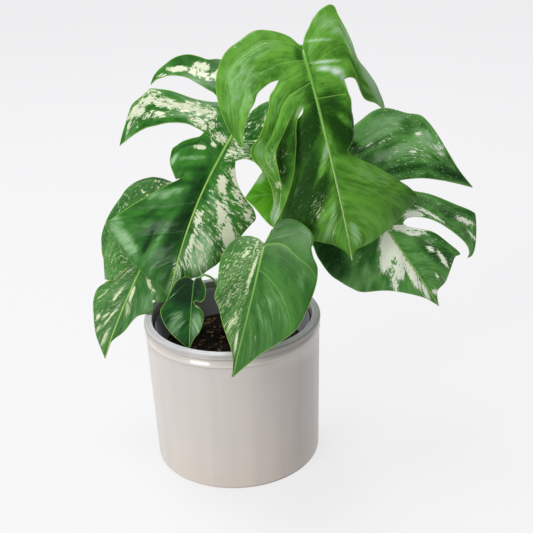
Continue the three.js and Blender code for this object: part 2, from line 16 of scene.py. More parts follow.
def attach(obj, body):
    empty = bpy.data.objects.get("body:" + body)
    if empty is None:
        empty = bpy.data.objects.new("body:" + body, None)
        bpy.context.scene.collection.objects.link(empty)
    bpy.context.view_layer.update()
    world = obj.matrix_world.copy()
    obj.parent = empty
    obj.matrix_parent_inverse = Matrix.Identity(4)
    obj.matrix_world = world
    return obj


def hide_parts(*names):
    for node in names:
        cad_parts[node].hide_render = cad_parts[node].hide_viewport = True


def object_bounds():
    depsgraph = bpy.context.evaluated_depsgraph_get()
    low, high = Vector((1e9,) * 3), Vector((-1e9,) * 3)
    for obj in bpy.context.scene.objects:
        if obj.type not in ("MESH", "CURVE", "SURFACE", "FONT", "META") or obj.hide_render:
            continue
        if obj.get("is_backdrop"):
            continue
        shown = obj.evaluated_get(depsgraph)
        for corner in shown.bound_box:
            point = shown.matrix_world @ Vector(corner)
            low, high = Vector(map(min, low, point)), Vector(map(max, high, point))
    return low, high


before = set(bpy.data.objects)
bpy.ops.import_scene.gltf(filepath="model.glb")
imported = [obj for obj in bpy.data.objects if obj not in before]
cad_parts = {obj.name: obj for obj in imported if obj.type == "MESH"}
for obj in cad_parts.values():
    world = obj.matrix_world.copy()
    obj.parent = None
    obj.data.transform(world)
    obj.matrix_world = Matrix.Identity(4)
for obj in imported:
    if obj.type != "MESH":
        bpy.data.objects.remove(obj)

CAD_BOX = [list(corner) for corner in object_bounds()]
print("CAD nodes:", len(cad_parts), "box:", CAD_BOX)

# %% [markdown]
# ## Camera
# The picture was taken with a longish lens, a little above the plant and looking down on it. The camera is
# set from four facts: where it stands, how far it tilts down, how far it leans to one side, and its lens.
# Its place and the places of the lamps are in metres.
# A matrix built from the camera's own right, up and back directions is simpler than three angles here.

# %% Set the camera
CAMERA_PLACE = Vector((0.0368, -0.956, 0.6337))
TILT_DOWN = math.radians(24.17)
LEAN = math.radians(-2.31)
LENS = 71.19  # millimetres, as is the sensor
SENSOR = 36

ahead = Vector((0, math.cos(TILT_DOWN), -math.sin(TILT_DOWN)))
level_up = Vector((0, math.sin(TILT_DOWN), math.cos(TILT_DOWN)))
level_right = Vector((1, 0, 0))
right = level_right * math.cos(LEAN) + level_up * math.sin(LEAN)
up = level_up * math.cos(LEAN) - level_right * math.sin(LEAN)
camera = bpy.data.objects.new("camera", bpy.data.cameras.new("camera"))
camera.data.lens = LENS
camera.data.sensor_width = SENSOR
camera_turn = Matrix((right, up, -ahead)).transposed().to_4x4()
camera.matrix_world = Matrix.Translation(CAMERA_PLACE) @ camera_turn
bpy.context.scene.collection.objects.link(camera)
bpy.context.scene.camera = camera
print("camera looks along", tuple(round(x, 3) for x in ahead))

# %% [markdown]
# ## Writing shader maths as Python
# A material is a graph of nodes, and sums are tedious to wire by hand. A small class wraps a socket that
# carries a number, so that `1 - mask` or `a * b` adds the Math node for us. Every other node comes from
# one method, which sets the node's options first and then its inputs. The world uses the same method.

# %% Numbers that vary over a surface
class Number:
    """A socket that carries a number. Arithmetic on it adds Math nodes."""

    def __init__(self, graph, socket):
        self.graph, self.socket = graph, socket

    def math(self, operation, *others):
        inputs = dict(enumerate((self,) + others))
        return self.graph.number("ShaderNodeMath", {"operation": operation}, inputs)

    def __add__(self, other):
        return self.math("ADD", other)

    def __sub__(self, other):
        return self.math("SUBTRACT", other)

    def __rsub__(self, other):
        return self.math("SUBTRACT", other).math("MULTIPLY", -1)

    def __mul__(self, other):
        return self.math("MULTIPLY", other)

    __radd__, __rmul__ = __add__, __mul__

    def step(self, low, high):
        """0 below low and 1 above high, smooth between. With low over high it falls instead."""
        falls = low > high
        ends = {"Value": self, "From Min": min(low, high), "From Max": max(low, high)}
        ends.update({"To Min": int(falls), "To Max": int(not falls)})
        return self.graph.number("ShaderNodeMapRange", {"interpolation_type": "SMOOTHSTEP"}, ends)

    def off_whole(self):
        """How far the number is from the nearest whole one."""
        return (self.math("ROUND") - self).math("ABSOLUTE")


print("numbers ready")

# %% A graph of nodes
class Graph:
    """The nodes of a world or a material, with one method for every node that isn't arithmetic."""

    def __init__(self, tree):
        self.tree = tree

    def node(self, kind, settings=None, inputs=None):
        made = self.tree.nodes.new(kind)
        for key, value in (settings or {}).items():
            if key == "stops":
                self.set_stops(made.color_ramp.elements, value)
            else:
                setattr(made, key, value)
        for key, value in (inputs or {}).items():
            self.feed(made.inputs[key], value)
        return made

    def set_stops(self, elements, stops):
        while len(elements) < len(stops):
            elements.new(0.5)
        for element, (place, colour) in zip(elements, stops):
            element.position = place
            element.color = colour

    def feed(self, socket, value):
        source = value.socket if isinstance(value, Number) else value
        if isinstance(source, bpy.types.NodeSocket):
            self.tree.links.new(source, socket)
        else:
            socket.default_value = source

    def number(self, kind, settings=None, inputs=None, output=0):
        return Number(self, self.node(kind, settings, inputs).outputs[output])


print("node maker ready")

# %% A finish is one material
def srgb(red, green, blue):
    """A colour given as 0 to 255 in a picture, as the linear colour that a shader needs."""
    channels = [c / 255 for c in (red, green, blue)]
    linear = [c / 12.92 if c <= 0.04045 else ((c + 0.055) / 1.055) ** 2.4 for c in channels]
    return (*linear, 1.0)


class Finish(Graph):
    """One material. Its constants are set on the shader, and drive() feeds what changes over the surface."""

    def __init__(self, name, **constants):
        self.material = bpy.data.materials.new(name)
        self.material.use_nodes = True
        super().__init__(self.material.node_tree)
        self.shader = self.tree.nodes["Principled BSDF"]
        for key, value in constants.items():
            self.shader.inputs[key.replace("_", " ")].default_value = value

    def place(self):
        return self.node("ShaderNodeTexCoord").outputs["Object"]

    def layer(self, name):
        """The number that a vertex layer holds."""
        return self.number("ShaderNodeAttribute", {"attribute_name": name}, output=2)

    def vector_layer(self, name):
        return self.node("ShaderNodeAttribute", {"attribute_name": name}).outputs[1]

    def parts(self, vector):
        """The x, y and z of a vector."""
        return [Number(self, part) for part in self.node("ShaderNodeSeparateXYZ", None, {0: vector}).outputs]

    def vector(self, x, y, z):
        return self.node("ShaderNodeCombineXYZ", None, {0: x, 1: y, 2: z}).outputs[0]

    def stretched(self, vector, scale):
        return self.node("ShaderNodeMapping", None, {"Vector": vector, "Scale": scale}).outputs[0]

    def grain(self, vector, scale, detail=3.0, roughness=0.55):
        inputs = {"Vector": vector, "Scale": scale, "Detail": detail, "Roughness": roughness}
        return self.number("ShaderNodeTexNoise", None, inputs)

    def blend(self, share, low, high):
        """The colour low where share is 0, and high where it is 1."""
        return self.node("ShaderNodeMix", {"data_type": "RGBA"}, {0: share, 6: low, 7: high}).outputs[2]

    def bump(self, height, distance, under=None):
        inputs = {"Height": height, "Distance": distance}
        if under is not None:
            inputs["Normal"] = under
        return self.node("ShaderNodeBump", None, inputs).outputs[0]

    def drive(self, **inputs):
        """What changes over the surface goes into these inputs of the shader."""
        for key, value in inputs.items():
            self.feed(self.shader.inputs[key.replace("_", " ")], value)
        return self.material


print("finishes ready")

# %% [markdown]
# ## Light
# The light is that of a bright studio. A pale world gives the even light from all round, a little brighter
# on the left. One large area lamp at the left and in front gives the pot its soft turn from light to
# shade, and one overhead draws the broad sheen on the waxy leaves. A third makes only the pot's glint.

# %% Make the world and the lamps
scene = bpy.context.scene
scene.view_settings.view_transform = "Standard"
scene.world = bpy.data.worlds.new("studio")
scene.world.use_nodes = True
studio = Graph(scene.world.node_tree)
way = studio.node("ShaderNodeTexCoord").outputs["Generated"]
halved = {"Vector": way, "Location": (0.5, 0, 0), "Scale": (0.5, 1, 1)}
across = studio.node("ShaderNodeMapping", None, halved).outputs["Vector"]
left_to_right = studio.node("ShaderNodeTexGradient", None, {"Vector": across}).outputs["Fac"]
greys = [(0.0, (0.50, 0.50, 0.52, 1)), (1.0, (0.14, 0.142, 0.15, 1))]
glow = studio.node("ShaderNodeValToRGB", {"stops": greys}, {"Fac": left_to_right}).outputs["Color"]
studio.feed(studio.tree.nodes["Background"].inputs["Color"], glow)


def soft_lamp(name, place, target, size, watts, colour=(1, 1, 1)):
    """A square area lamp at one place, aimed at another. Metres."""
    lamp = bpy.data.objects.new(name, bpy.data.lights.new(name, "AREA"))
    lamp.data.size = size
    lamp.data.energy = watts
    lamp.data.color = colour
    lamp.location = place
    lamp.rotation_euler = (Vector(target) - Vector(place)).to_track_quat("-Z", "Y").to_euler()
    scene.collection.objects.link(lamp)
    return lamp


side_lamp = soft_lamp("side_lamp", (-2.05, -2.06, 1.6), (0, 0, 0.2), 1.5, 57, (1, 0.99, 0.97))
side_lamp.visible_glossy = False  # it only shades, and the glint stands for its reflection
glint = soft_lamp("glint", (-1.24, -1.47, 0.4), (0, 0, 0.15), 0.8, 15)
glint.visible_diffuse = False
soft_lamp("top_lamp", (-0.35, 0.5, 2.3), (0, 0, 0.25), 1.1, 36)

# %% [markdown]
# ## Finishing a piece
# Each piece is modelled in a bmesh, in millimetres. This helper scales it to metres, makes the object,
# ties it to the body that it rides on, hides the CAD nodes that it stands for, and prints its size.

# %% Turn a bmesh into a finished piece
MM = 0.001


def finish_piece(bm, name, materials, nodes=(), smooth=True):
    bmesh.ops.scale(bm, vec=(MM, MM, MM), verts=bm.verts)
    for face in bm.faces:
        face.smooth = smooth
    mesh = bpy.data.meshes.new(name)
    bm.to_mesh(mesh)
    bm.free()
    for material in materials:
        mesh.materials.append(material)
    piece = bpy.data.objects.new(name, mesh)
    scene.collection.objects.link(piece)
    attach(piece, "root")
    if nodes:
        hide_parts(*nodes)
    print(name, "faces:", len(mesh.polygons), "size in mm:", [round(x / MM, 1) for x in piece.dimensions])
    return piece


print("finishing helper ready")

# %% Turn a profile round the upright axis
def spun(profile, steps):
    """A closed turned solid from a list of (radius, height), which starts and ends on the axis."""
    bm = bmesh.new()
    verts = [bm.verts.new((radius, 0, height)) for radius, height in profile]
    for a, b in zip(verts, verts[1:]):
        bm.edges.new((a, b))
    bmesh.ops.spin(bm, geom=bm.verts[:] + bm.edges[:], cent=(0, 0, 0), axis=(0, 0, 1), dvec=(0, 0, 0),
                   angle=2 * math.pi, steps=steps, use_merge=True, use_duplicate=False)
    bmesh.ops.remove_doubles(bm, verts=bm.verts, dist=0.001)
    bmesh.ops.recalc_face_normals(bm, faces=bm.faces)
    return bm


def arc(centre, radius, start, end, steps=6):
    """Points on a quarter round or less. Angles in degrees, 0 outwards and 90 up."""
    turns = [math.radians(start + (end - start) * i / steps) for i in range(steps + 1)]
    return [(centre[0] + radius * math.cos(t), centre[1] + radius * math.sin(t)) for t in turns]


print("turning helpers ready")

# %% [markdown]
# ## Cover pot
# The cover pot was thrown on a wheel, glazed and fired. It has a flat base with a small round edge,
# straight sides that open a little, a soft shoulder, a groove, and a thick lip with fine rings. Turning is
# exactly how such a pot is made, so its outline is written once and spun.

# %% Turn the cover pot
POT_HEIGHT = 155
LIP_RADIUS = 89.4
LIP_INNER_RADIUS = 81
LIP_BOTTOM = 149
LIP_ROUND = 3.1            # the lip's upper edge
GROOVE_DEPTH = 3.1         # the groove under the lip
SHOULDER_BOTTOM = 140.5
SHOULDER_STEP = 0.45       # the shoulder stands out in two such steps
SHOULDER_REACH = 0.95      # how far it stands out in all
SHOULDER_ROUND = 12.8
BODY_TOP_RADIUS = 88.2
BASE_RADIUS = 85
BASE_ROUND = 3
SIDE_TOP = 140
SIDE_STEPS = 8
POT_FLOOR = 7
POT_SIDES = 160

pot_outside = [(0, 0), (60, 0)] + arc((BASE_RADIUS - BASE_ROUND, BASE_ROUND), BASE_ROUND, -90, 0)
for i in range(1, SIDE_STEPS + 1):
    share = i / SIDE_STEPS
    side_radius = BASE_RADIUS + (BODY_TOP_RADIUS - BASE_RADIUS) * share
    pot_outside.append((side_radius, BASE_ROUND + (SIDE_TOP - BASE_ROUND) * share))
shoulder = [(BODY_TOP_RADIUS + SHOULDER_STEP, SHOULDER_BOTTOM)]
shoulder += [(BODY_TOP_RADIUS + 2 * SHOULDER_STEP, SHOULDER_BOTTOM + 1.0)]
shoulder_centre = (BODY_TOP_RADIUS + SHOULDER_REACH - SHOULDER_ROUND, SHOULDER_BOTTOM - 0.1)
shoulder += arc(shoulder_centre, SHOULDER_ROUND, 5, 36, 10)
groove = [(LIP_RADIUS - GROOVE_DEPTH, LIP_BOTTOM - 0.8), (LIP_RADIUS - GROOVE_DEPTH, LIP_BOTTOM - 0.3)]
lip_face = arc((LIP_RADIUS - 1.2, LIP_BOTTOM + 1.4), 1.2, -80, -5, 4)
lip_face += [(LIP_RADIUS, LIP_BOTTOM + 2.1), (LIP_RADIUS - 0.35, LIP_BOTTOM + 2.5)]
lip_turn = arc((LIP_RADIUS - LIP_ROUND, POT_HEIGHT - LIP_ROUND), LIP_ROUND, 5, 86, 8)
lip_top = [(86.3, 154.3), (85.8, 154.85), (85.1, 154.9), (84.6, 154.35), (84.1, 154.85), (83.5, 154.9)]
lip_top += [(83.1, 154.5), (82.7, 154.95)]
lip_inside = arc((LIP_INNER_RADIUS + 1.5, POT_HEIGHT - 1.5), 1.5, 90, 180, 5)
pot_inside = [(LIP_INNER_RADIUS - 0.5, LIP_BOTTOM), (LIP_INNER_RADIUS - 1.5, POT_FLOOR + 5)]
pot_inside += arc((LIP_INNER_RADIUS - 5.5, POT_FLOOR + 4), 4, 0, -90, 5) + [(30, POT_FLOOR), (0, POT_FLOOR)]
pot_profile = pot_outside + shoulder + groove + lip_face + lip_turn + lip_top + lip_inside + pot_inside
pot_mesh = spun(pot_profile, POT_SIDES)
print("pot profile points:", len(pot_profile))

# %% [markdown]
# The glaze is a pale grey-taupe that pools greyer on the lip, warms slightly in patches, and carries faint
# rings from the wheel. The rings are noise that is squeezed in height, and a clear coat gives the gloss.
# Each line round the pot is drawn between two heights, which are taken from the pot's own sizes.

# %% Glaze the cover pot
glaze = Finish("taupe_glaze", Roughness=0.38, Coat_Roughness=0.09, Coat_IOR=1.7)
spot = glaze.place()
rightwards, _, height = glaze.parts(spot)
rings = glaze.grain(glaze.stretched(spot, (6, 6, 420)), 1.0, 4.0, 0.6)
clouds = glaze.grain(spot, 9.0, 2.0)
runs = glaze.grain(glaze.stretched(spot, (60, 60, 3)), 1.0, 2.0)


def up_pot(low, high):
    """0 below one height on the pot and 1 above the other, in mm. With low over high it falls instead."""
    return height.step(low * MM, high * MM)


warmth = glaze.blend(clouds.step(0.3, 0.7), srgb(198, 193, 187), srgb(206, 197, 189))
warmer_foot = glaze.blend(up_pot(70, 0) * 0.35, warmth, srgb(208, 192, 178))
# the wheel rings and glaze runs, and a darker right side, away from the side lamp: painted shade
shade = rings.step(0.3, 0.7) * 0.04 + runs.step(0.35, 0.65) * 0.09 + rightwards.step(0.01, 0.08) * 0.2
banded_and_shaded = glaze.blend(shade, warmer_foot, srgb(150, 143, 136))
in_shoulder = up_pot(SHOULDER_BOTTOM - 0.1, SHOULDER_BOTTOM + 0.7)
cream_shoulder = glaze.blend(in_shoulder * 0.5, banded_and_shaded, srgb(214, 206, 198))
in_tan_line = up_pot(SHOULDER_BOTTOM - 1.7, SHOULDER_BOTTOM - 0.3)
in_tan_line *= up_pot(SHOULDER_BOTTOM + 1.5, SHOULDER_BOTTOM + 0.1)
tan_line = glaze.blend(in_tan_line * 0.55, cream_shoulder, srgb(160, 144, 130))

# %% Glaze its lip and foot
lip_rings = glaze.grain(glaze.stretched(spot, (3, 3, 1500)), 1.0, 2.0)
lip_grey = glaze.blend(lip_rings.step(0.4, 0.6), srgb(158, 155, 152), srgb(184, 181, 178))
# the crests of the lip's top are lighter and bluer: a painted highlight
lip_with_crest_highlight = glaze.blend(up_pot(POT_HEIGHT - 0.5, POT_HEIGHT - 0.1) * 0.8, lip_grey, srgb(196, 199, 204))
on_lip = up_pot(LIP_BOTTOM - 0.6, LIP_BOTTOM)
with_lip = glaze.blend(on_lip, tan_line, lip_with_crest_highlight)
# a dark warm line at the foot, strongest on the right: a painted contact shadow
foot_shadow = up_pot(3.8, 1.4) * (rightwards.step(-0.05, 0.06) * 0.7 + 0.25)
with_foot_shadow = glaze.blend(foot_shadow, with_lip, srgb(136, 108, 86))
# a dark band in the groove under the lip: painted shade
shade_under_lip = up_pot(LIP_BOTTOM - 1.8, LIP_BOTTOM - 0.8) * up_pot(LIP_BOTTOM + 0.6, LIP_BOTTOM)
pot_colour = glaze.blend(shade_under_lip * 0.5, with_foot_shadow, srgb(120, 115, 110))
glaze.drive(Base_Color=pot_colour, Coat_Weight=in_shoulder * (1 - on_lip * 0.8) * 0.72 + 0.2,
            Normal=glaze.bump(rings, 0.00003), Roughness=clouds * 0.12 + 0.3 + on_lip * 0.2)
finish_piece(pot_mesh, "pot", [glaze.material], ["cover_pot"])

# %% [markdown]
# ## Growing pot
# Inside stands the thin plastic pot that the plant was raised in. Only its rim and upper wall show. It is
# spun too, with the wall and the rim of the CAD solid, and its edges are rounded here.

# %% Turn the growing pot
RIM_Z = 148
RIM_RADIUS = 78.5
RIM_BAND = 9               # the height of the band round the rim
RIM_STEP = 3               # how far the band stands out
GROWER_BASE_RADIUS = 62
GROWER_WALL = 1.4
GROWER_FLOOR = 1.8
GROWER_SIDES = 120
MIDWAY = 70                # a height halfway up the wall
GAP = 0.3                  # between pieces that stand in one another
grower_base = POT_FLOOR + GAP


def grower_radius(z):
    share = (z - grower_base) / (RIM_Z - grower_base)
    return GROWER_BASE_RADIUS + (RIM_RADIUS - RIM_STEP - GROWER_BASE_RADIUS) * share


rim_bottom = RIM_Z - RIM_BAND
grower_profile = [(0, grower_base), (50, grower_base), (GROWER_BASE_RADIUS - 1, grower_base)]
grower_profile += [(grower_radius(z), z) for z in (grower_base + 1, MIDWAY, rim_bottom)]
grower_profile += [(RIM_RADIUS - 0.4, rim_bottom + 0.6), (RIM_RADIUS, rim_bottom + 1.2)]
grower_profile += [(RIM_RADIUS, RIM_Z - 0.6)]
grower_profile += arc((RIM_RADIUS - GROWER_WALL / 2, RIM_Z - GROWER_WALL / 2), GROWER_WALL / 2, 0, 180, 6)
grower_profile += [(grower_radius(z) - GROWER_WALL, z) for z in (rim_bottom + 3, MIDWAY)]
grower_top = grower_base + GROWER_FLOOR
grower_profile += [(grower_radius(grower_base) - GROWER_WALL, grower_top), (0, grower_top)]
grower_mesh = spun(grower_profile, GROWER_SIDES)
print("growing pot profile points:", len(grower_profile))

# %% Finish it as grey moulded plastic
plastic = Finish("grey_plastic", Coat_Weight=0.0)
scuffs = plastic.grain(plastic.place(), 160.0, 4.0)
cloudy = plastic.grain(plastic.place(), 14.0, 2.0)
plastic_colour = plastic.blend(cloudy.step(0.35, 0.65), srgb(122, 119, 134), srgb(150, 147, 162))
plastic.drive(Base_Color=plastic_colour, Roughness=scuffs * 0.2 + 0.36, Normal=plastic.bump(scuffs, 0.00004))
finish_piece(grower_mesh, "growing_pot", [plastic.material], ["nursery_pot"])

# %% [markdown]
# ## Soil
# The mix is dark and loose, with crumbs and chips of bark on top. The soil is a turned block with many
# rings on its top face, and waves and noise lift them. The chips are flattened cubes with uneven corners,
# laid by a seeded random rule, so that each run gives the same ground.

# %% Raise the soil
SOIL_Z = 122
SOIL_RELIEF = 2.2
SOIL_EDGE_DIP = 3
SOIL_RINGS = 60
SOIL_SIDES = 200
CRUMB_FADE = 2             # the crumbs fade out this near to the pot's wall


def soil_height(x, y):
    """The soil's level, with the broad lumps of the CAD solid."""
    edge = math.hypot(x, y) / RIM_RADIUS
    lumps = math.sin(x * 0.21 + 1.3) * math.cos(y * 0.17 - 0.4) + 0.6 * math.sin(x * 0.39 - y * 0.33)
    return SOIL_Z + SOIL_RELIEF * lumps * (1 - edge * edge) - SOIL_EDGE_DIP * edge ** 4


def crumbs(x, y):
    """The fine relief that is left to this script."""
    coarse = noise.noise(Vector((x * 0.16, y * 0.16, 3.1)))
    fine = noise.noise(Vector((x * 0.55, y * 0.55, 7.7)))
    return 1.5 * coarse + 0.9 * fine


soil_rim = grower_radius(SOIL_Z - SOIL_EDGE_DIP - 1) - GROWER_WALL - 2 * GAP
soil_foot = grower_top + GAP
soil_wall = [(0, soil_foot), (grower_radius(soil_foot) - 3, soil_foot), (soil_rim, SOIL_Z)]
soil_rings = [(soil_rim * (1 - i / SOIL_RINGS), SOIL_Z) for i in range(1, SOIL_RINGS + 1)]
soil_mesh = spun(soil_wall + soil_rings, SOIL_SIDES)
soil_top = [vert for vert in soil_mesh.verts if vert.co.z > SOIL_Z - 1]
for vert in soil_top:
    x, y = vert.co.x, vert.co.y
    inside = min(1, (soil_rim - math.hypot(x, y)) / CRUMB_FADE)
    vert.co.z = soil_height(x, y) + crumbs(x, y) * inside
heights = [vert.co.z for vert in soil_top]
print("soil's level in mm, from", round(min(heights), 1), "to", round(max(heights), 1))

# %% Colour the soil
earth = Finish("potting_mix", Specular_IOR_Level=0.25)
grit = earth.grain(earth.place(), 420.0, 5.0, 0.7)
damp = earth.grain(earth.place(), 60.0, 3.0)
fleck = earth.grain(earth.place(), 260.0, 2.0)
earth_dark = earth.blend(damp.step(0.35, 0.65), srgb(16, 12, 9), srgb(36, 27, 20))
earth_colour = earth.blend(fleck.step(0.62, 0.68), earth_dark, srgb(112, 80, 52))
earth.drive(Base_Color=earth_colour, Roughness=grit * 0.3 + 0.7, Normal=earth.bump(grit, 0.0012))
finish_piece(soil_mesh, "soil_bed", [earth.material], ["soil"])

# %% Scatter bark chips on it
CHIP_COUNT = 620
CHIP_LENGTHS = (1.6, 2.0, 2.6, 3.4, 5.0)
CHIP_FLATNESS = 0.22       # a chip's thickness over its length
CHIP_UNEVENNESS = 0.09     # how far its corners stray, over its length
CHIP_LIFT = 0.07           # how far its middle lies above the soil, over its length
BARE_EDGE = 5              # no chip's middle lies nearer to the pot's wall
chip_rule = random.Random(11)
chips = bmesh.new()
chip_shade = chips.verts.layers.float.new("shade")


def lay_chip():
    """One more chip, stretched, leaned, turned and laid on the soil. Its draws keep this order."""
    reach = (soil_rim - BARE_EDGE) * math.sqrt(chip_rule.random())
    turn = chip_rule.uniform(0, 2 * math.pi)
    x, y = reach * math.cos(turn), reach * math.sin(turn)
    size = chip_rule.choice(CHIP_LENGTHS) * chip_rule.uniform(0.8, 1.2)
    corners = bmesh.ops.create_cube(chips, size=1)["verts"]
    shape = Matrix.Diagonal((size, size * chip_rule.uniform(0.25, 0.6), size * CHIP_FLATNESS, 1))
    roll = Matrix.Rotation(chip_rule.gauss(0, 0.35), 4, "X")
    lean = roll @ Matrix.Rotation(chip_rule.gauss(0, 0.3), 4, "Y")
    turned = Matrix.Rotation(chip_rule.uniform(0, math.pi), 4, "Z") @ lean
    lift = Matrix.Translation((x, y, soil_height(x, y) + crumbs(x, y) + size * CHIP_LIFT))
    bmesh.ops.transform(chips, matrix=lift @ turned @ shape, verts=corners)
    shade = chip_rule.random()
    for vert in corners:
        vert.co += Vector([chip_rule.uniform(-1, 1) * size * CHIP_UNEVENNESS for _ in range(3)])
        vert[chip_shade] = shade


for _ in range(CHIP_COUNT):
    lay_chip()
bmesh.ops.bevel(chips, geom=chips.edges[:], offset=0.15, affect="EDGES", segments=1, profile=0.5, material=-1)
print("bark chips:", CHIP_COUNT)

# %% Colour the chips
bark = Finish("bark", Specular_IOR_Level=0.3)
fibres = bark.grain(bark.stretched(bark.place(), (300, 1200, 1200)), 1.0, 3.0)
browns = [(0.0, srgb(20, 15, 11)), (0.45, srgb(48, 37, 26))]
browns += [(0.75, srgb(128, 96, 62)), (1.0, srgb(204, 164, 114))]
bark_share = bark.layer("shade") * 0.8 + (fibres - 0.5) * 0.6
bark_colour = bark.node("ShaderNodeValToRGB", {"stops": browns}, {0: bark_share}).outputs[0]
bark.drive(Base_Color=bark_colour, Roughness=fibres * 0.3 + 0.6, Normal=bark.bump(fibres, 0.0004))
finish_piece(chips, "bark_chips", [bark.material], smooth=False)

# %% [markdown]
# ## Smooth paths and round limbs
# The stem, the stalks and the midribs are round limbs along smooth curves. A curve passes through a few
# named points, and its own points are spaced evenly. A flat grid is rolled into the limb: one side runs
# round it and the other along it. That keeps the seam tidy and gives each point a place along the limb for
# its colours.

# %% Smooth, evenly spaced paths
PATH_STEPS = 24            # between two points of a limb
MARGIN_STEPS = 16          # between two points of a leaf's margin


def bend_through(a, b, c, d, t, gaps):
    """A point between b and c on a smooth curve that also nears a and d."""
    ga, gb, gc = gaps
    leave = ((b - a) / ga - (c - a) / (ga + gb) + (c - b) / gb) * gb
    arrive = ((c - b) / gb - (d - b) / (gb + gc) + (d - c) / gc) * gb
    t2, t3 = t * t, t * t * t
    start, end = b * (2 * t3 - 3 * t2 + 1), c * (-2 * t3 + 3 * t2)
    return start + leave * (t3 - 2 * t2 + t) + end + arrive * (t3 - t2)


def even_points(points, shares):
    """The points of a dense path that lie at these shares of its length."""
    lengths = [0.0]
    for a, b in zip(points, points[1:]):
        lengths.append(lengths[-1] + (b - a).length)
    found, k = [], 0
    for share in shares:
        want = share * lengths[-1]
        while k < len(points) - 2 and lengths[k + 1] < want:
            k += 1
        gap = lengths[k + 1] - lengths[k]
        found.append(points[k].lerp(points[k + 1], (want - lengths[k]) / gap if gap else 0))
    return found


def limb_path(points, count):
    """Evenly spaced points on a rounded curve in space that keeps close to its corners."""
    points = [Vector(p) for p in points]
    run = [points[0] * 2 - points[1]] + points + [points[-1] * 2 - points[-2]]
    dense = []
    for a, b, c, d in zip(run, run[1:], run[2:], run[3:]):
        gaps = [max(1e-4, (q - p).length ** 0.5) for p, q in ((a, b), (b, c), (c, d))]
        dense += [bend_through(a, b, c, d, t / PATH_STEPS, gaps) for t in range(PATH_STEPS)]
    dense.append(points[-1])
    return even_points(dense, [i / count for i in range(count + 1)])


print("path helpers ready")

# %% Roll a grid into a limb
def add_limb(bm, path, radius_at, sides, along):
    """A round limb with rounded-off ends. The layer along holds 0 at its start and 1 at its end."""
    rings = len(path) - 1
    side = (path[1] - path[0]).orthogonal().normalized()
    frames = []
    for i, point in enumerate(path):
        way = (path[min(i + 1, rings)] - path[max(i - 1, 0)]).normalized()
        side = (side - way * side.dot(way)).normalized()
        frames.append((point, side, way.cross(side)))
    verts = bmesh.ops.create_grid(bm, x_segments=sides, y_segments=rings, size=0.5)["verts"]
    for vert in verts:
        turn = 2 * math.pi * round((vert.co.x + 0.5) * sides) / sides
        ring = round((vert.co.y + 0.5) * rings)
        point, across, other = frames[ring]
        radius = radius_at(ring / rings)
        vert.co = point + (across * math.cos(turn) + other * math.sin(turn)) * radius
        vert[along] = ring / rings
    bmesh.ops.remove_doubles(bm, verts=verts, dist=0.001)
    fresh = [v for v in verts if v.is_valid]
    rim = {e for v in fresh for e in v.link_edges if e.is_boundary}
    bmesh.ops.holes_fill(bm, edges=list(rim), sides=sides)
    faces = {f for v in fresh for f in v.link_faces}
    bmesh.ops.recalc_face_normals(bm, faces=list(faces))


def limb_mesh(points, radius_at, rings, sides):
    """A new mesh with one limb through these points."""
    bm = bmesh.new()
    add_limb(bm, limb_path(points, rings), radius_at, sides, bm.verts.layers.float.new("along"))
    return bm


print("limb helpers ready")

# %% [markdown]
# ## Stem
# A monstera's short stem is as thick as a thumb, ringed where old leaves grew, and rounds off at its tip.
# It stands in the soil, and the stalks come off it in turn.

# %% Grow the stem
STEM_BASE, STEM_TOP = Vector((4, 12, 96)), Vector((9, 17, 168))
STEM_RADIUS = 11
STEM_TAPER = 0.25          # the share of its radius that it loses on its way up
STEM_TIP = 0.8             # the share of its length where it starts to round off
STEM_ROUND = 0.22          # the share over which it would close
STEM_BEND = Vector((-2.5, 1.5, 0))
NODE_RINGS = 10
RING_HEIGHT = 0.9


def stem_radius(share):
    ring = RING_HEIGHT * math.cos(share * math.pi * NODE_RINGS) ** 2
    past = max(0, share - STEM_TIP) / STEM_ROUND
    return (STEM_RADIUS * (1 - STEM_TAPER * share) + ring) * math.sqrt(max(0.04, 1 - past ** 2))


stem_middle = STEM_BASE.lerp(STEM_TOP, 0.55) + STEM_BEND
stem_mesh = limb_mesh([STEM_BASE, stem_middle, STEM_TOP], stem_radius, rings=80, sides=36)
print("stem points:", len(stem_mesh.verts))

# %% Colour the stem
stem_skin = Finish("stem_skin")
stem_ring = (stem_skin.layer("along") * (2 * math.pi * NODE_RINGS)).math("COSINE").step(0.55, 1.0)
stem_noise = stem_skin.grain(stem_skin.place(), 220.0)
stem_base_colour = stem_skin.blend(stem_noise.step(0.4, 0.6), srgb(96, 116, 52), srgb(128, 134, 78))
stem_colour = stem_skin.blend(stem_ring * 0.7, stem_base_colour, srgb(116, 92, 62))
stem_skin.drive(Base_Color=stem_colour, Roughness=stem_noise * 0.3 + 0.4,
                Normal=stem_skin.bump(stem_noise, 0.0005))
finish_piece(stem_mesh, "short_stem", [stem_skin.material], ["stem"])

# %% [markdown]
# ## The shape of a leaf
# Each leaf has its own plane: u runs outwards from the midrib, v runs from the stalk to the tip. The plane
# is given by two places, where the stalk meets the blade and where the tip is, and by the side that faces
# the light. The blade then arches along the midrib, folds into a shallow V, and droops at its sides, and
# its midrib sways a few millimetres to one side on its way to the tip.

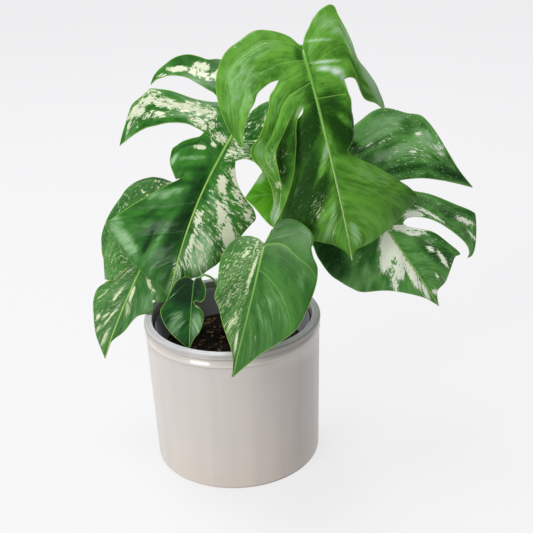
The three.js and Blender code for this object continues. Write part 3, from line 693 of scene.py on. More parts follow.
# %% Place a leaf in space
class Leaf:
    """A leaf's place and form. Across it, left of the midrib has u above 0, as seen from its lit side.

    arch     how high the midrib rises halfway
    fold     how much each half rises for each mm outwards
    droop    how far each half hangs 100 mm out
    ripple   how high the waves in the blade are
    rib      the midrib's radius at its start
    sheath   the stalk's radius at its foot
    stalk    the points that the stalk passes through, in the pot's frame
    sway     how far the midrib curves to the left
    proud    about how far the midrib shows above the blade
    knee     the length of the swollen joint
    """

    def __init__(self, name, junction, tip, facing, **form):
        self.name = name
        self.junction = Vector(junction)
        span = Vector(tip) - self.junction
        self.length = span.length
        self.along = span.normalized()
        self.normal = (Vector(facing) - self.along * Vector(facing).dot(self.along)).normalized()
        self.across = self.along.cross(self.normal)
        self.arch, self.fold, self.droop = form["arch"], form["fold"], form["droop"]
        self.ripple, self.rib, self.sheath = form["ripple"], form["rib"], form["sheath"]
        self.sway, self.proud, self.knee = form.get("sway", 0), form.get("proud", 0.35), form.get("knee", 9)
        self.stalk = [Vector(p) for p in form["stalk"]]

    def point(self, u, v, lift=0.0):
        share = v / self.length
        droop = self.droop[0] if u > 0 else self.droop[1]
        height = self.arch * 4 * share * (1 - share) + self.fold * abs(u) - droop * (u / 100) ** 2
        swayed = u + self.sway * math.sin(math.pi * min(1, max(0, share))) * max(0, 1 - abs(u) / 40) ** 2
        return self.junction + self.across * swayed + self.along * v + self.normal * (height + lift)

    def flat(self, place):
        """The u and v of a place on the blade."""
        away = place - self.junction
        return away.dot(self.across), away.dot(self.along)


print("leaf plane ready")

# %% Smooth margins
MIDRIB_HALF_GAP = 0.3      # between the midrib's line and each half


def margin(points, count):
    """Evenly spaced points along a smooth edge through the given (u, v) points."""
    points = [Vector((u, v)) for u, v in points]
    run = [points[0]] + points + [points[-1]]
    dense = []
    for a, b, c, d in zip(run, run[1:], run[2:], run[3:]):
        dense += [bend_through(a, b, c, d, t / MARGIN_STEPS, (1, 1, 1)) for t in range(MARGIN_STEPS)]
    dense.append(points[-1])
    return even_points(dense, [i / count for i in range(count + 1)])


print("margin helper ready")

# %% [markdown]
# ## Lobes and the end of a blade
# A split leaf is a row of lobes. Each lobe runs along its own side vein, from the midrib out to its tip,
# between an upper and a lower side. The rest of the blade, past the last split, is one sheet from the
# midrib out to the margin. Both are grids, so every point knows which vein line it lies on and how far
# out it is. Those two numbers steer the veins and the marbling later.

# %% Put a half together
PLAIN_END = {"drop": 0, "lean": 1, "waves": 2, "rows": 10, "sweep": 25, "onset": 4}


def half(veins, *lobes, **end):
    """One half of a blade: where its veins leave the midrib, its lobes from the stalk on, and its end.

    Each part starts where the one before it stops, at its root on the midrib and at its split, so neither
    is given again. A lobe's upper side leads to the last point of its lower side, which is its tip.

    root    where the lobe ends on the midrib
    drop    how far the lobe's tip or the end's margin hangs
    bend    1 where the lobe hangs straight from its split, and 2 where it curves down
    edge    the end's margin, as far as the leaf's tip
    lean    above 1 where the end's rows are closer together near the stalk
    waves   how many half waves the end's margin has
    rows    how many rows of the CAD solid the end has
    sweep   how far the end's veins lean to the tip, and onset how soon they do
    """
    root, split, chain = 0, [], []
    for lobe in lobes:
        upper = split + lobe["upper"] + lobe["lower"][-1:]
        chain.append(lobe | {"roots": (root, lobe["root"]), "upper": upper})
        root, split = lobe["root"], lobe["lower"][:1]
    end = PLAIN_END | end | {"root": root, "edge": split + end["edge"]}
    points = len(end["edge"]) + sum(len(lobe["upper"] + lobe["lower"]) for lobe in chain)
    print("half with", len(chain), "lobes, outline points:", points)
    return {"veins": veins, "lobes": chain, "end": end}


print("an end's plain form:", PLAIN_END)

# %% Place a grid along the veins
FINE = 8                   # fine steps for each step of the CAD solid
INNER_STEPS = 3 * FINE     # from the midrib to the end of a split
OUTER_STEPS = 7 * FINE     # from there to a lobe's tip
LOBE_COLUMNS = 4 * FINE


def placed_grid(bm, columns, rows, layers, place):
    """A grid whose points are put where place(row, column) says, with their flow along the veins."""
    verts = bmesh.ops.create_grid(bm, x_segments=columns, y_segments=rows, size=0.5)["verts"]
    for vert in verts:
        column, row = round((vert.co.x + 0.5) * columns), round((vert.co.y + 0.5) * rows)
        vert.co, vert[layers["flow"]] = place(row, column)
    return verts


print("steps across a lobe:", LOBE_COLUMNS, "and along it:", INNER_STEPS + OUTER_STEPS)

# %% One lobe
def lobe_side(root, edge):
    """A lobe's side: straight from its root to the end of the split, then along its margin to the tip."""
    start, split = Vector((MIDRIB_HALF_GAP, root)), Vector(edge[0])
    inner = [start.lerp(split, i / INNER_STEPS) for i in range(INNER_STEPS)]
    return inner + margin(edge, OUTER_STEPS)


def add_lobe(bm, leaf, side, lobe, layers, vein_number):
    """The grid of one lobe. The first one's upper side starts at the stalk and has no split."""
    steps = INNER_STEPS + OUTER_STEPS
    low, high = lobe["roots"]
    lower = lobe_side(high, lobe["lower"])
    if low == 0:
        upper = margin([(MIDRIB_HALF_GAP, 0)] + lobe["upper"], steps)
    else:
        upper = lobe_side(low, lobe["upper"])
    middle = [a.lerp(b, 0.5) for a, b in zip(upper, lower)]
    reach = [0.0]
    for a, b in zip(middle, middle[1:]):
        reach.append(reach[-1] + (b - a).length)

    def place(i, j):
        free = max(0, (i - INNER_STEPS) / OUTER_STEPS)
        q = 2 * j / LOBE_COLUMNS - 1
        at = upper[i].lerp(lower[i], j / LOBE_COLUMNS)
        lift = leaf.ripple * q * q * math.sin(math.pi * free) - lobe["drop"] * free ** lobe.get("bend", 2)
        m = low + (high - low) * j / LOBE_COLUMNS
        number, per_mm = vein_number(m)
        spread = (upper[i] - lower[i]).length / ((high - low) * per_mm)
        return leaf.point(side * at.x, at.y, lift), Vector((number, reach[i], spread))

    return placed_grid(bm, LOBE_COLUMNS, steps, layers, place)


print("lobe helpers ready")

# %% The end of a blade
def add_end(bm, leaf, side, end, layers, vein_number):
    """The grid from the last split to the tip. Its rows run out from the midrib to the margin."""
    rows = end["rows"] * FINE
    edge = margin(end["edge"], rows)
    root = end["root"]

    def flat_place(i, j):
        t, share = j / INNER_STEPS, i / rows
        m = root + (leaf.length - root) * share ** end["lean"]
        out = Vector((max(edge[i].x, MIDRIB_HALF_GAP), edge[i].y))
        at = Vector((MIDRIB_HALF_GAP, m)).lerp(out, t)
        return at, m - end["sweep"] * t * min(1, share * end["onset"])

    def place(i, j):
        t, share = j / INNER_STEPS, i / rows
        at, swept = flat_place(i, j)
        before, swept_before = flat_place(max(0, i - 1), j)
        after, swept_after = flat_place(min(rows, i + 1), j)
        wave = leaf.ripple * math.sin(end["waves"] * math.pi * share) * t * t
        lift = wave - end["drop"] * math.sin(math.pi * share) * t * t
        number, per_mm = vein_number(swept)
        spread = (after - before).length / max(0.05, (swept_after - swept_before) * per_mm)
        return leaf.point(side * at.x, at.y, lift), Vector((number, at.x, spread))

    return placed_grid(bm, INNER_STEPS, rows, layers, place)


print("end helper ready")

# %% [markdown]
# ## Side veins and quilting
# Side veins lie in shallow grooves on the upper face, and the blade swells softly between them. Each half
# lists where its veins leave the midrib. A point between two veins gets a number between two whole
# numbers, so the nearest vein is always a rounding away. The grooves and swells are made in the mesh.

# %% Number the veins
FIRST_GAP = 40             # mm for one number before the first vein


def numbering(veins):
    """Turns a distance along the midrib into a vein number, and says how many numbers pass in a mm."""

    def number(m):
        k = 0
        while k < len(veins) - 2 and m > veins[k + 1]:
            k += 1
        gap = veins[k + 1] - veins[k] if m > veins[0] else FIRST_GAP
        return k + (m - veins[k]) / gap, 1 / gap

    return number


def rise(value, low, high):
    """0 below low, 1 above high, smooth between."""
    t = min(1, max(0, (value - low) / (high - low)))
    return t * t * (3 - 2 * t)


GROOVE_WIDTH = 1.3
GROOVE_SHARE = 0.4         # how deep the grooves are for each mm that the blade swells
CALM_AT_RIB = 9            # the quilting fades out over this distance to the midrib
CALM_AT_MARGIN = 7         # and over this one to the margin
EDGE_REACH = 30            # distances to the margin are measured up to this one


def quilt(flow, edge, swell):
    """How far a point lies above the plain blade: its swell between two veins, less a groove on each."""
    number, out, spread = flow
    off = abs(number - round(number))
    calm = rise(out, 0, CALM_AT_RIB) * rise(edge, 0, CALM_AT_MARGIN)
    groove = math.exp(-(off * spread / GROOVE_WIDTH) ** 2)
    mound = (0.5 - 0.5 * math.cos(2 * math.pi * number)) * rise(spread, 4, 22)
    return calm * (swell * mound - GROOVE_SHARE * swell * groove * rise(spread, 1, 6))


print("vein helpers ready")

# %% Soft patches on a blade
def patches(base, ovals, u, v):
    """A base value and soft ovals: centre u and v, half length, half width, turn and amount.
    Where ovals that add overlap, the strongest counts. Ovals that take away all count."""
    added = taken = 0
    for centre_u, centre_v, long, short, turn, amount in ovals:
        away = Vector((u - centre_u, v - centre_v))
        if abs(away.x) + abs(away.y) > 2.2 * (long + short):
            continue
        way = Vector((math.cos(math.radians(turn)), math.sin(math.radians(turn))))
        far = (away.dot(way) / long) ** 2 + ((away.x * way.y - away.y * way.x) / short) ** 2
        share = amount * math.exp(-far ** 1.5)
        added, taken = max(added, share), taken + min(0, share)
    return base + added + taken


print("patch helper ready")

# %% Build both halves of a blade
def blade_mesh(leaf, halves, marks, swell):
    """A blade of two halves. marks holds how pale each half is, its patches of cream and those of painted
    sheen and shade.
    """
    bm = bmesh.new()
    layers = {name: bm.verts.layers.float.new(name) for name in ("edge", "pale", "tone")}
    layers["flow"] = bm.verts.layers.float_vector.new("flow")
    for side, one_half in zip((1, -1), halves):
        number = numbering(one_half["veins"])
        for lobe in one_half["lobes"]:
            face_up(bm, leaf, add_lobe(bm, leaf, side, lobe, layers, number))
        face_up(bm, leaf, add_end(bm, leaf, side, one_half["end"], layers, number))
    bmesh.ops.remove_doubles(bm, verts=bm.verts, dist=0.004)
    bmesh.ops.dissolve_degenerate(bm, dist=0.002, edges=bm.edges)
    measure_edge(bm, leaf, layers)
    paleness, cream, tones = marks
    for vert in bm.verts:
        u, v = leaf.flat(vert.co)
        vert[layers["pale"]] = patches(paleness[0 if u > 0 else 1], cream, u, v)
        # painted light: painted sheen where it is above 0, painted shade where it is below 0
        vert[layers["tone"]] = patches(0, tones, u, v)
        vert.co += leaf.normal * quilt(vert[layers["flow"]], vert[layers["edge"]], swell)
    return bm


def face_up(bm, leaf, verts):
    """Turns a grid's faces to the lit side of the leaf."""
    faces = list({f for v in verts for f in v.link_faces})
    for face in faces:
        face.normal_update()
    if sum(f.normal.dot(leaf.normal) * f.calc_area() for f in faces) < 0:
        bmesh.ops.reverse_faces(bm, faces=faces)


def measure_edge(bm, leaf, layers):
    """Stores each point's distance to the nearest open edge, but for the slit under the midrib."""
    rim = [v for v in bm.verts if v.is_boundary and abs(leaf.flat(v.co)[0]) > 2 * MIDRIB_HALF_GAP]
    tree = kdtree.KDTree(len(rim))
    for i, vert in enumerate(rim):
        tree.insert(vert.co, i)
    tree.balance()
    for vert in bm.verts:
        vert[layers["edge"]] = min(EDGE_REACH, tree.find(vert.co)[2])


print("blade builder ready")

# %% [markdown]
# ## Leaf skin
# An albo leaf is green tissue with sectors that make no green. The sectors follow the vein lines, because
# each grew from one cell, so the marbling is noise stretched along the flow of the veins. The soft patches
# say where cream is likely, and the noise gives them their torn edges and flecks. Around the cream the
# green is half strength, veins are a little lighter, and a thin lime line runs round the margin.
#
# Each blade carries its own numbers for this. pale is above 0 where it is cream. tone is above 0 where
# a painted sheen lies on the green, and below 0 where shade is painted on it, down to near black. edge is the
# distance to the margin. flow holds the vein number, the distance out from the midrib, and how wide one
# number is there.

# %% Marble the upper face
CREAM = srgb(202, 212, 172)
MINT = srgb(136, 174, 112)
# colours of the painted sheen and of the brighter painted glare on the leaves
PAINTED_SHEEN = srgb(150, 188, 142)
PAINTED_GLARE = srgb(206, 222, 206)
LIME = srgb(140, 182, 76)
SHADOW = (0, 0.01, 0, 1)
FINE_VEINS = 5             # between two side veins


class LeafSkin(Finish):
    """The upper face of a leaf. deep and fresh are its two greens, vein is the colour of its side veins,
    and each seed gives other marbling.

    veins         how clear the side veins are
    last_vein     the number of the last one that shows
    rough         the roughness of its wax, about
    fine          above 0 where the cream is in small flecks, below 0 where it is in broad sectors
    lanes         how many streaks lie between two side veins
    cream_colour  the colour of its cream
    """

    def __init__(self, name, deep, fresh, vein, seed, veins=0.5, last_vein=20, rough=0.36, fine=0.0,
                 lanes=14.0, cream_colour=CREAM):
        super().__init__(name, Coat_Roughness=0.22, Coat_IOR=1.45, Specular_IOR_Level=0.12)
        self.seed = seed
        self.vein, self.out, self.spread = self.parts(self.vector_layer("flow"))
        self.pale, self.tone, self.edge = (self.layer(key) for key in ("pale", "tone", "edge"))
        self.streaks = self.along_veins(lanes, 0.10, 0, 4.0, 0.62)
        self.flecks = self.along_veins(2.6 * lanes, 0.34, 5, 2.0, 0.6)
        self.drift = self.along_veins(5.0, 0.07, 20, 3.0, 0.6)
        self.cells = self.grain(self.place(), 620.0, 2.0, 0.6)
        # dark is the painted shade: where the painted light is below 0, with edges torn by the noise
        self.dark = self.cloudy(2.0, 0.8, -1).step(0.05, 1.15) * self.tone.step(-0.02, -0.3)
        marble = self.pale + (self.streaks - 0.5) * (6.0 * (1 - fine))
        marble += (self.flecks - 0.5) * (5.6 * (1 + fine))
        cream = marble.step(-0.03, 0.1)
        softened = self.blend(marble.step(-1.3, 0.1) * 0.42, self.mottled(deep, fresh), MINT)
        marbled = self.blend(cream, self.with_painted_sheen(softened), cream_colour)
        veined = self.blend(self.vein_line(last_vein) * veins, marbled, vein)
        rimmed = self.blend(self.edge.step(0.85, 0.2) * 0.7, veined, LIME)
        self.drive(Base_Color=rimmed, Normal=self.relief(),
                   Roughness=self.cells * 0.2 + (rough - 0.1) + cream * 0.06 + self.dark * 0.3,
                   Coat_Weight=(self.streaks * 0.2 + 0.1) * (1 - self.dark * 0.9))

    def along_veins(self, lanes, run, place, detail, roughness):
        """Noise with so many streaks between two veins and so many bumps for each mm outwards."""
        spot = self.vector(self.vein * lanes, self.out * run, self.seed + place)
        return self.grain(spot, 1.0, detail, roughness)

    def cloudy(self, drift, streaks, sign):
        """The painted light, or with a sign of -1 its opposite, with edges torn by the noise."""
        return self.tone * sign + (self.drift - 0.5) * drift + (self.streaks - 0.5) * streaks

    def mottled(self, deep, fresh):
        """The green, from deep to fresh, with its painted shade and its fine speckle."""
        swell = self.along_veins(1.6, 0.02, 9, 2.0, 0.5)
        green = self.blend((swell * 0.55 + self.drift * 0.45 + self.tone * 0.2).step(0.34, 0.64), deep, fresh)
        shaded = self.blend(self.dark * 0.9, green, self.blend(0.75, deep, SHADOW))
        speckle = (self.cells * 0.6 + self.flecks * 0.4).step(0.46, 0.72) * (1 - self.dark * 0.8) * 0.3
        return self.blend(speckle, shaded, fresh)

    def with_painted_sheen(self, under):
        """A painted sheen, and a brighter painted glare where the painted light is highest."""
        sheen_share = self.cloudy(1.1, 0.9, 1).step(0.15, 1.25) * self.tone.step(0.02, 0.3)
        return self.blend(sheen_share, under, self.blend(self.tone.step(1.2, 1.8) * 0.85, PAINTED_SHEEN, PAINTED_GLARE))

    def vein_line(self, last_vein):
        shown = self.pale.step(-0.5, -1.3) * self.vein.step(last_vein + 0.6, last_vein + 0.3)
        line = (self.vein.off_whole() * self.spread).step(0.75, 0.2)
        return line * self.out.step(110, 15) * self.spread.step(1.0, 5.0) * shown

    def relief(self):
        """Cells, with fine veins sunk between the side veins."""
        off = (self.vein * FINE_VEINS).off_whole() * self.spread * (1 / FINE_VEINS)
        fine_vein = off.step(0.8, 0.1) * self.spread.step(6, 18)
        return self.bump(fine_vein * -1.0, 0.0001, self.bump(self.cells, 0.00005))


print("leaf skin ready")

# %% The underside and the midrib
def leaf_underside(name, colour):
    under = Finish(name, Specular_IOR_Level=0.35)
    cloud = under.grain(under.place(), 70.0)
    cream = (under.layer("pale") + (cloud - 0.5) * 3).step(0.1, 0.4)
    tint = under.blend(cloud.step(0.3, 0.7) * 0.35, colour, srgb(150, 180, 110))
    tint = under.blend(cream * 0.7, tint, srgb(214, 220, 180))
    tint = under.blend(under.layer("edge").step(1.25, 0.35) * 0.8, tint, srgb(160, 192, 90))
    return under.drive(Base_Color=tint, Roughness=cloud * 0.2 + 0.45)


def rib_skin(name, start, end):
    rib = Finish(name, Coat_Roughness=0.3)
    cloud = rib.grain(rib.place(), 120.0)
    shade = rib.blend(rib.layer("along").step(0.1, 0.95), start, end)
    shade = rib.blend(cloud.step(0.35, 0.7) * 0.25, shade, srgb(92, 142, 56))
    return rib.drive(Base_Color=shade, Roughness=cloud * 0.2 + 0.3, Coat_Weight=cloud * 0.3)


print("leaf finishes ready")

# %% [markdown]
# ## Midrib, knee and stalk
# The midrib stands out under the blade and shows as a thin pale line above. At its start it bends into the
# knee, the swollen joint that turns the leaf to the light. The stalk ends under the knee, and clasps the
# stem with a widened sheath at its foot. Midrib and stalk are limbs, as the stem is.

# %% The rib and the stalk of a leaf
BLADE_THICKNESS = 0.8
THINNEST_RIB = 0.75        # its radius at the leaf's tip
KNEE_CLEARANCE = 0.3       # between the stalk's end and the knee
STRAIGHT_END = 7           # the stalk comes up straight for this length
SHEATH_SHARE = 2.2         # the sheath takes the stalk's length over this number


def rib_radius(leaf, share):
    return max(THINNEST_RIB, leaf.rib * (1 - share) ** 0.8)


def stalk_radius(leaf, share):
    return leaf.rib + (leaf.sheath - leaf.rib) * max(0, 1 - share * SHEATH_SHARE) ** 1.5


def knee(leaf):
    """Where the knee starts, and the direction in which the stalk comes up to it."""
    way = (leaf.junction - leaf.stalk[-1]).normalized()
    start = leaf.junction - way * leaf.knee - leaf.normal * leaf.rib - leaf.along * 0.5 * leaf.rib
    return start, way


def rib_mesh(leaf):
    """The knee and the midrib, whose top stays just above the blade while it gets thinner."""
    start, way = knee(leaf)
    points = [start, start + way * 0.55 * leaf.knee]
    for share in (0.04, 0.2, 0.4, 0.6, 0.8, 1):
        height = leaf.proud * (1.6 - share)
        points.append(leaf.point(0, share * leaf.length, height - rib_radius(leaf, share)))
    return limb_mesh(points, lambda share: rib_radius(leaf, share), rings=90, sides=16)


def stalk_mesh(leaf):
    start, way = knee(leaf)
    points = leaf.stalk + [start - way * (KNEE_CLEARANCE + STRAIGHT_END), start - way * KNEE_CLEARANCE]
    return limb_mesh(points, lambda share: stalk_radius(leaf, share), rings=80, sides=20)


print("rib and stalk helpers ready")

# %% Assemble a leaf
stalk_skin = rib_skin("stalk_skin", srgb(84, 128, 52), srgb(104, 152, 60))


def grow(leaf, halves, marks, swell, skin, under, rib, stalk=stalk_skin):
    """The three pieces of a leaf: its blade, which swells so many mm between its veins, its midrib with the
    knee, and its stalk."""
    number = leaf.name.split("_")[1]
    blade_form = blade_mesh(leaf, halves, marks, swell)
    blade = finish_piece(blade_form, f"blade_{number}", [skin.material, under], [leaf.name])
    wall = blade.modifiers.new("thickness", "SOLIDIFY")  # downwards, with the second material
    wall.thickness = BLADE_THICKNESS * MM
    wall.offset = -1
    wall.material_offset = 1
    finish_piece(rib_mesh(leaf), f"midrib_{number}", [rib])
    finish_piece(stalk_mesh(leaf), f"stalk_{number}", [stalk], [f"petiole_{number}"])


print("leaf assembly ready")

# %% [markdown]
# ## Leaf 1, the tallest
# The top leaf is the largest and the freshest green, with three lobes on its left and two on its right.
# Its right upper lobe droops most at its tip. It has only a few cream flecks.

# %% Outline leaf 1
leaf_1 = Leaf("leaf_1", (79, 40, 414), (118, -45, 228), (0.15, -0.6, 0.8), arch=18, fold=0.05,
              droop=(22, 30), ripple=2, rib=2.6, sheath=4.6, sway=4, proud=0.7,
              stalk=[(11, 25, 150), (32, 34, 188), (53, 46, 218), (79, 62, 272), (88, 70, 332),
                     (80, 65, 395)])
left_1 = half(
    [5, 15.5, 37, 55, 84, 112, 140, 165, 185],
    dict(root=21, drop=10,
         upper=[(3, -3), (9, -12), (19, -19), (32, -24), (42, -24), (55, -18), (68, -12), (76, -5), (84, 7),
                (88, 16), (91, 30), (91, 47), (88, 65), (84, 75)],
         lower=[(33, 29), (41, 30), (48, 33), (56, 38), (61, 46), (68, 54), (73, 64), (77, 74), (78, 84)]),
    dict(root=50, drop=2,
         upper=[(39, 36), (46, 43), (50, 54), (56, 64), (64, 77), (75, 88), (75, 98), (68, 109), (61, 120)],
         lower=[(22, 59), (28, 63), (37, 73), (46, 84), (53, 94), (55, 103), (55, 112), (55, 128)]),
    dict(root=60, drop=14, bend=1,
         upper=[(31.5, 65.5), (40.5, 73.5), (49, 82), (57, 91), (63, 102), (64, 116), (62, 129), (63, 141),
                (68, 152)],
         lower=[(17, 60), (24, 67), (29, 77), (32, 90), (36, 104), (40, 118), (47, 133), (55, 147),
                (66, 162)]),
    drop=26, rows=12, sweep=28,
    edge=[(19, 65), (26, 71), (32, 84), (39, 101), (44, 119), (51, 136), (55, 150), (54, 163), (46, 172),
          (29, 182), (12, 191), (3, 200), (0, 208)])
right_1 = half(
    [7, 24, 54, 80, 116, 140, 165, 185],
    dict(root=41, drop=22,
         upper=[(6, -10), (13, -18), (20, -26), (30, -34), (38, -38), (45, -40), (49, -37), (49, -27),
                (51, -13), (53, 3), (54, 20), (61, 32), (69, 46), (72, 55), (75, 64)],
         lower=[(30, 40), (36, 39), (41, 41), (43, 47), (44, 54), (47, 61), (53, 64), (62, 66), (76, 73)]),
    dict(root=104, drop=14,
         upper=[(30, 48), (30, 54), (31, 61), (30, 70), (31, 79)],
         lower=[(15, 109), (21, 101), (31, 88)]),
    drop=2, sweep=28,
    edge=[(18, 113), (35, 125), (48, 134), (63, 145), (73, 152), (83, 162), (81, 166), (64, 175), (45, 187),
          (22, 196), (6, 200), (0, 208)])

# %% Marble leaf 1 and grow it
cream_1 = [
    (60, 104, 16, 8, 60, 1.3), (60, 138, 14, 5, 95, 1.2), (62, 150, 12, 4, 95, 1.2),
    (56, 125, 4, 2, 125, 3.0), (46, 104, 18, 4, 80, 0.8), (24, 156, 18, 8, 75, 1.1),
    (14, 172, 16, 6, 75, 1.0), (66, -16, 12, 5, 160, 0.9), (-6, 182, 12, 5, 100, 0.9),
]
# painted sheen and glare (amounts above 0) and painted shade (amounts below 0) on leaf 1
sheen_and_shade_1 = [
    (68, 26, 36, 18, 70, 0.55), (46, 0, 20, 8, 20, 0.3), (44, 52, 22, 8, 50, 0.3), (66, 92, 16, 6, 90, 0.5),
    (63, 147, 15, 6, 95, 1.3), (47, 104, 20, 6, 85, -0.9), (24, 92, 24, 14, 75, -1.0),
    (10, 72, 18, 10, 60, -0.7), (27, 141, 28, 13, 60, -1.5), (27, 122, 16, 6, 58, -0.8),
    (46, 150, 10, 8, 60, -0.5), (8, 105, 12, 3, 62, 1.3), (14, 118, 15, 3.4, 60, 1.1),
    (22, 131, 12, 2.6, 60, 0.8), (5, 122, 12, 2, 70, 0.6), (23, 62, 9, 3, 50, 0.9),
    (4, 84, 16, 2.5, 92, 0.4), (-18, -3, 16, 1.6, 174, 1.2), (-16, 19.5, 15, 1.9, 176, 1.7),
    (-14, 26.5, 9, 3.5, 172, 1.7), (-24, 31, 8, 5, 160, 1.8), (-29, 38, 4, 4, 120, 1.5),
    (-10, 66, 20, 11, 90, -0.8), (-22, 92, 20, 12, 80, -1.1), (-8, 92, 18, 8, 90, -0.6),
    (-19, 79, 12, 4, 130, 1.2), (-64, 42, 34, 8, 110, 1.4), (-40, -14, 26, 12, 150, 0.6),
    (-52, 8, 26, 7, 100, 1.1), (-50, 58, 9, 5, 160, -0.2), (-30, 42, 6, 6, 0, 0.6),
    (-6, 184, 13, 5, 100, 0.8), (12, 162, 22, 4, 80, 0.5), (32, 172, 14, 6, 80, -0.7),
    (-34, 134, 30, 12, 150, 0.4), (18, 176, 14, 3, 70, 0.6), (6, 8, 9, 5, 90, -0.6),
    (8, 48, 18, 6, 100, -0.4),
]
bright_rib = rib_skin("bright_rib", srgb(98, 162, 48), srgb(164, 200, 122))
bright_under = leaf_underside("bright_underside", srgb(112, 160, 44))
skin_1 = LeafSkin("leaf_skin_1", srgb(42, 98, 16), srgb(99, 160, 54), srgb(146, 192, 84), 2.0, last_vein=2)
grow(leaf_1, (left_1, right_1), ((-2.0, -2.5), cream_1, sheen_and_shade_1), 1.3,
     skin_1, bright_under, bright_rib)

# %% [markdown]
# ## Leaf 2, the marbled one
# The left leaf is deep green with the boldest marbling: a cream band in its top lobe, a second lobe that
# is mostly cream, and a right half full of streaks. The left part of its end is plain green.

# %% Outline leaf 2
leaf_2 = Leaf("leaf_2", (19, 70, 337), (-63, 0, 174), (-0.15, -0.85, 0.5), arch=14, fold=0.05,
              droop=(20, 25), ripple=2, rib=2.4, sheath=4.2, sway=6,
              stalk=[(1, 26, 146), (-5, 44, 192), (-7, 64, 231), (3, 86, 289), (13, 94, 322)])
left_2 = half(
    [7, 27, 48, 95, 125, 155, 178],
    dict(root=14, drop=8,
         upper=[(7, -9), (13, -28), (26, -45), (41, -51), (54, -50), (64, -46), (75, -46), (86, -45),
                (94, -42), (102, -36), (108, -27), (113, -18), (115, -10)],
         lower=[(27, -8), (40, -14), (46, -15), (62, -18), (75, -20), (86, -19), (98, -16), (104, -12),
                (110, -8), (114, -1)]),
    dict(root=41, drop=12,
         upper=[(39, -4), (49, -2), (58, -1), (69, -1), (81, -1), (91, 0), (101, 2), (109, 4), (112, 10),
                (117, 18), (121, 24), (122, 31), (120, 47), (119, 58)],
         lower=[(30, 28), (34, 27), (43, 26), (52, 26), (63, 29), (73, 33), (83, 39), (92, 44), (101, 52),
                (109, 61), (117, 71)]),
    dict(root=78, drop=3,
         upper=[(32, 33), (39, 38), (46, 44), (50, 50), (53, 55), (52, 62), (50, 68), (43, 76)],
         lower=[(30, 78), (32, 80), (37, 82)]),
    drop=3,
    edge=[(39, 87), (56, 106), (74, 127), (88, 144), (92, 153), (67, 169), (39, 181), (18, 186), (0, 195)])
right_2 = half(
    [7, 30, 62, 90, 120, 150, 175],
    dict(root=14, drop=8,
         upper=[(4, -9), (11, -22), (21, -30), (31, -30), (38, -20), (37, -7)],
         lower=[(11, 21), (22, 16), (29, 6)]),
    dict(root=47, drop=8,
         upper=[(23, 17), (37, 16), (48, 22), (54, 31), (54, 41)],
         lower=[(14, 43), (17, 40), (22, 37), (31, 37), (39, 41), (44, 46), (51, 51)]),
    drop=6, rows=12,
    edge=[(17, 51), (22, 60), (29, 68), (38, 75), (47, 80), (53, 88), (51, 95), (48, 103), (45, 112),
          (38, 126), (35, 142), (27, 155), (22, 163), (12, 171), (3, 181), (0, 195)])

# %% Marble leaf 2 and grow it
cream_2 = [
    (92, -26, 17, 5, 15, 3.6), (64, -29, 20, 7, 178, 3.4), (67, -37, 13, 6.5, 8, 3.3),
    (48, -33, 9, 9, 60, 3.2), (52, -39, 4, 3, 90, -1.8), (88, -36, 10, 2.6, 12, -1.4),
    (106, -14, 8, 3, 40, 2.6), (104, 13, 18, 11, 20, 3.4), (112, 30, 16, 10, 60, 3.5),
    (115, 46, 16, 2.4, 98, 3.0), (106, 42, 12, 1.6, 125, 2.6), (82, 12, 26, 10, 8, 3.3),
    (54, 10, 30, 10, 4, 3.4), (88, 28, 26, 6, 20, 2.8), (34, 8, 14, 10, 160, 3.1), (34, 19, 20, 9, 10, 3.0),
    (12, 27, 12, 8, 10, 2.9), (74, 4, 10, 3, 4, -2.6), (52, 14, 6, 2, 10, -1.2), (84, 20, 11, 2, 16, -1.2),
    (32, 13, 7, 5, 20, -0.6), (100, 23, 9, 2, 24, -1.2), (66, 18, 12, 2, 12, -0.9),
    (110, 14, 10, 1.6, 30, -1.6), (96, 9, 8, 1.6, 16, -1.4), (27, 43.5, 10, 3, 12, 3.0),
    (15, 36, 5, 2.6, 170, 3.4), (9, 28, 4, 3, 170, 2.6), (40, 36, 10, 3, 30, 1.2),
    (-9, 34, 11, 11, 100, 0.9), (-21, 58, 10, 5, 120, 2.6), (-9, 69, 9, 5, 110, 2.3),
    (-16, 80, 14, 3, 125, 1.2), (-32, 75, 13, 6, 120, 1.1), (-20, 98, 14, 3.5, 122, 2.5),
    (-34, 113, 15, 6, 118, 2.8), (1, 108, 11, 5, 95, 2.8), (-46, 88, 10, 6, 110, 0.9),
    (-14, 142, 28, 14, 105, 0.75), (3, 166, 18, 3.6, 92, 2.5), (-2, 132, 12, 3, 95, 1.2),
    (-8, 92, 10, 6, 120, -0.4), (-30, 142, 16, 5, 100, -0.5),
]
# painted sheen (amounts above 0) and painted shade (amounts below 0) on leaf 2
sheen_and_shade_2 = [
    (66, 158, 30, 9, 152, 0.85), (80, 146, 14, 8, 120, 0.7), (110, 52, 20, 8, 110, 0.5),
    (40, 150, 22, 3.2, 84, -1.0), (47, 122, 14, 3, 60, -0.5), (16, 134, 28, 8, 84, -0.9),
    (12, 92, 36, 8, 92, -0.7), (29, 144, 24, 3.5, 82, 0.5), (42, 100, 26, 6, 35, 0.7),
    (62, 120, 22, 4, 40, -0.35), (36, 86, 20, 4, 20, -0.7), (49, 68, 11, 3.6, 70, 1.0),
    (30, 56, 18, 3, 24, 0.6), (24, 66, 16, 4, 24, -0.5), (-16, 142, 28, 12, 102, 0.95),
    (-8, 92, 18, 8, 100, 0.5), (24, 168, 18, 5, 80, 0.4), (10, 172, 16, 4, 85, -0.5),
    (66, 6, 60, 4, 4, 0.3), (60, -19, 60, 3, 2, 0.3),
]
dark_rib = rib_skin("dark_rib", srgb(134, 176, 80), srgb(160, 196, 96))
dark_under = leaf_underside("dark_underside", srgb(92, 134, 70))
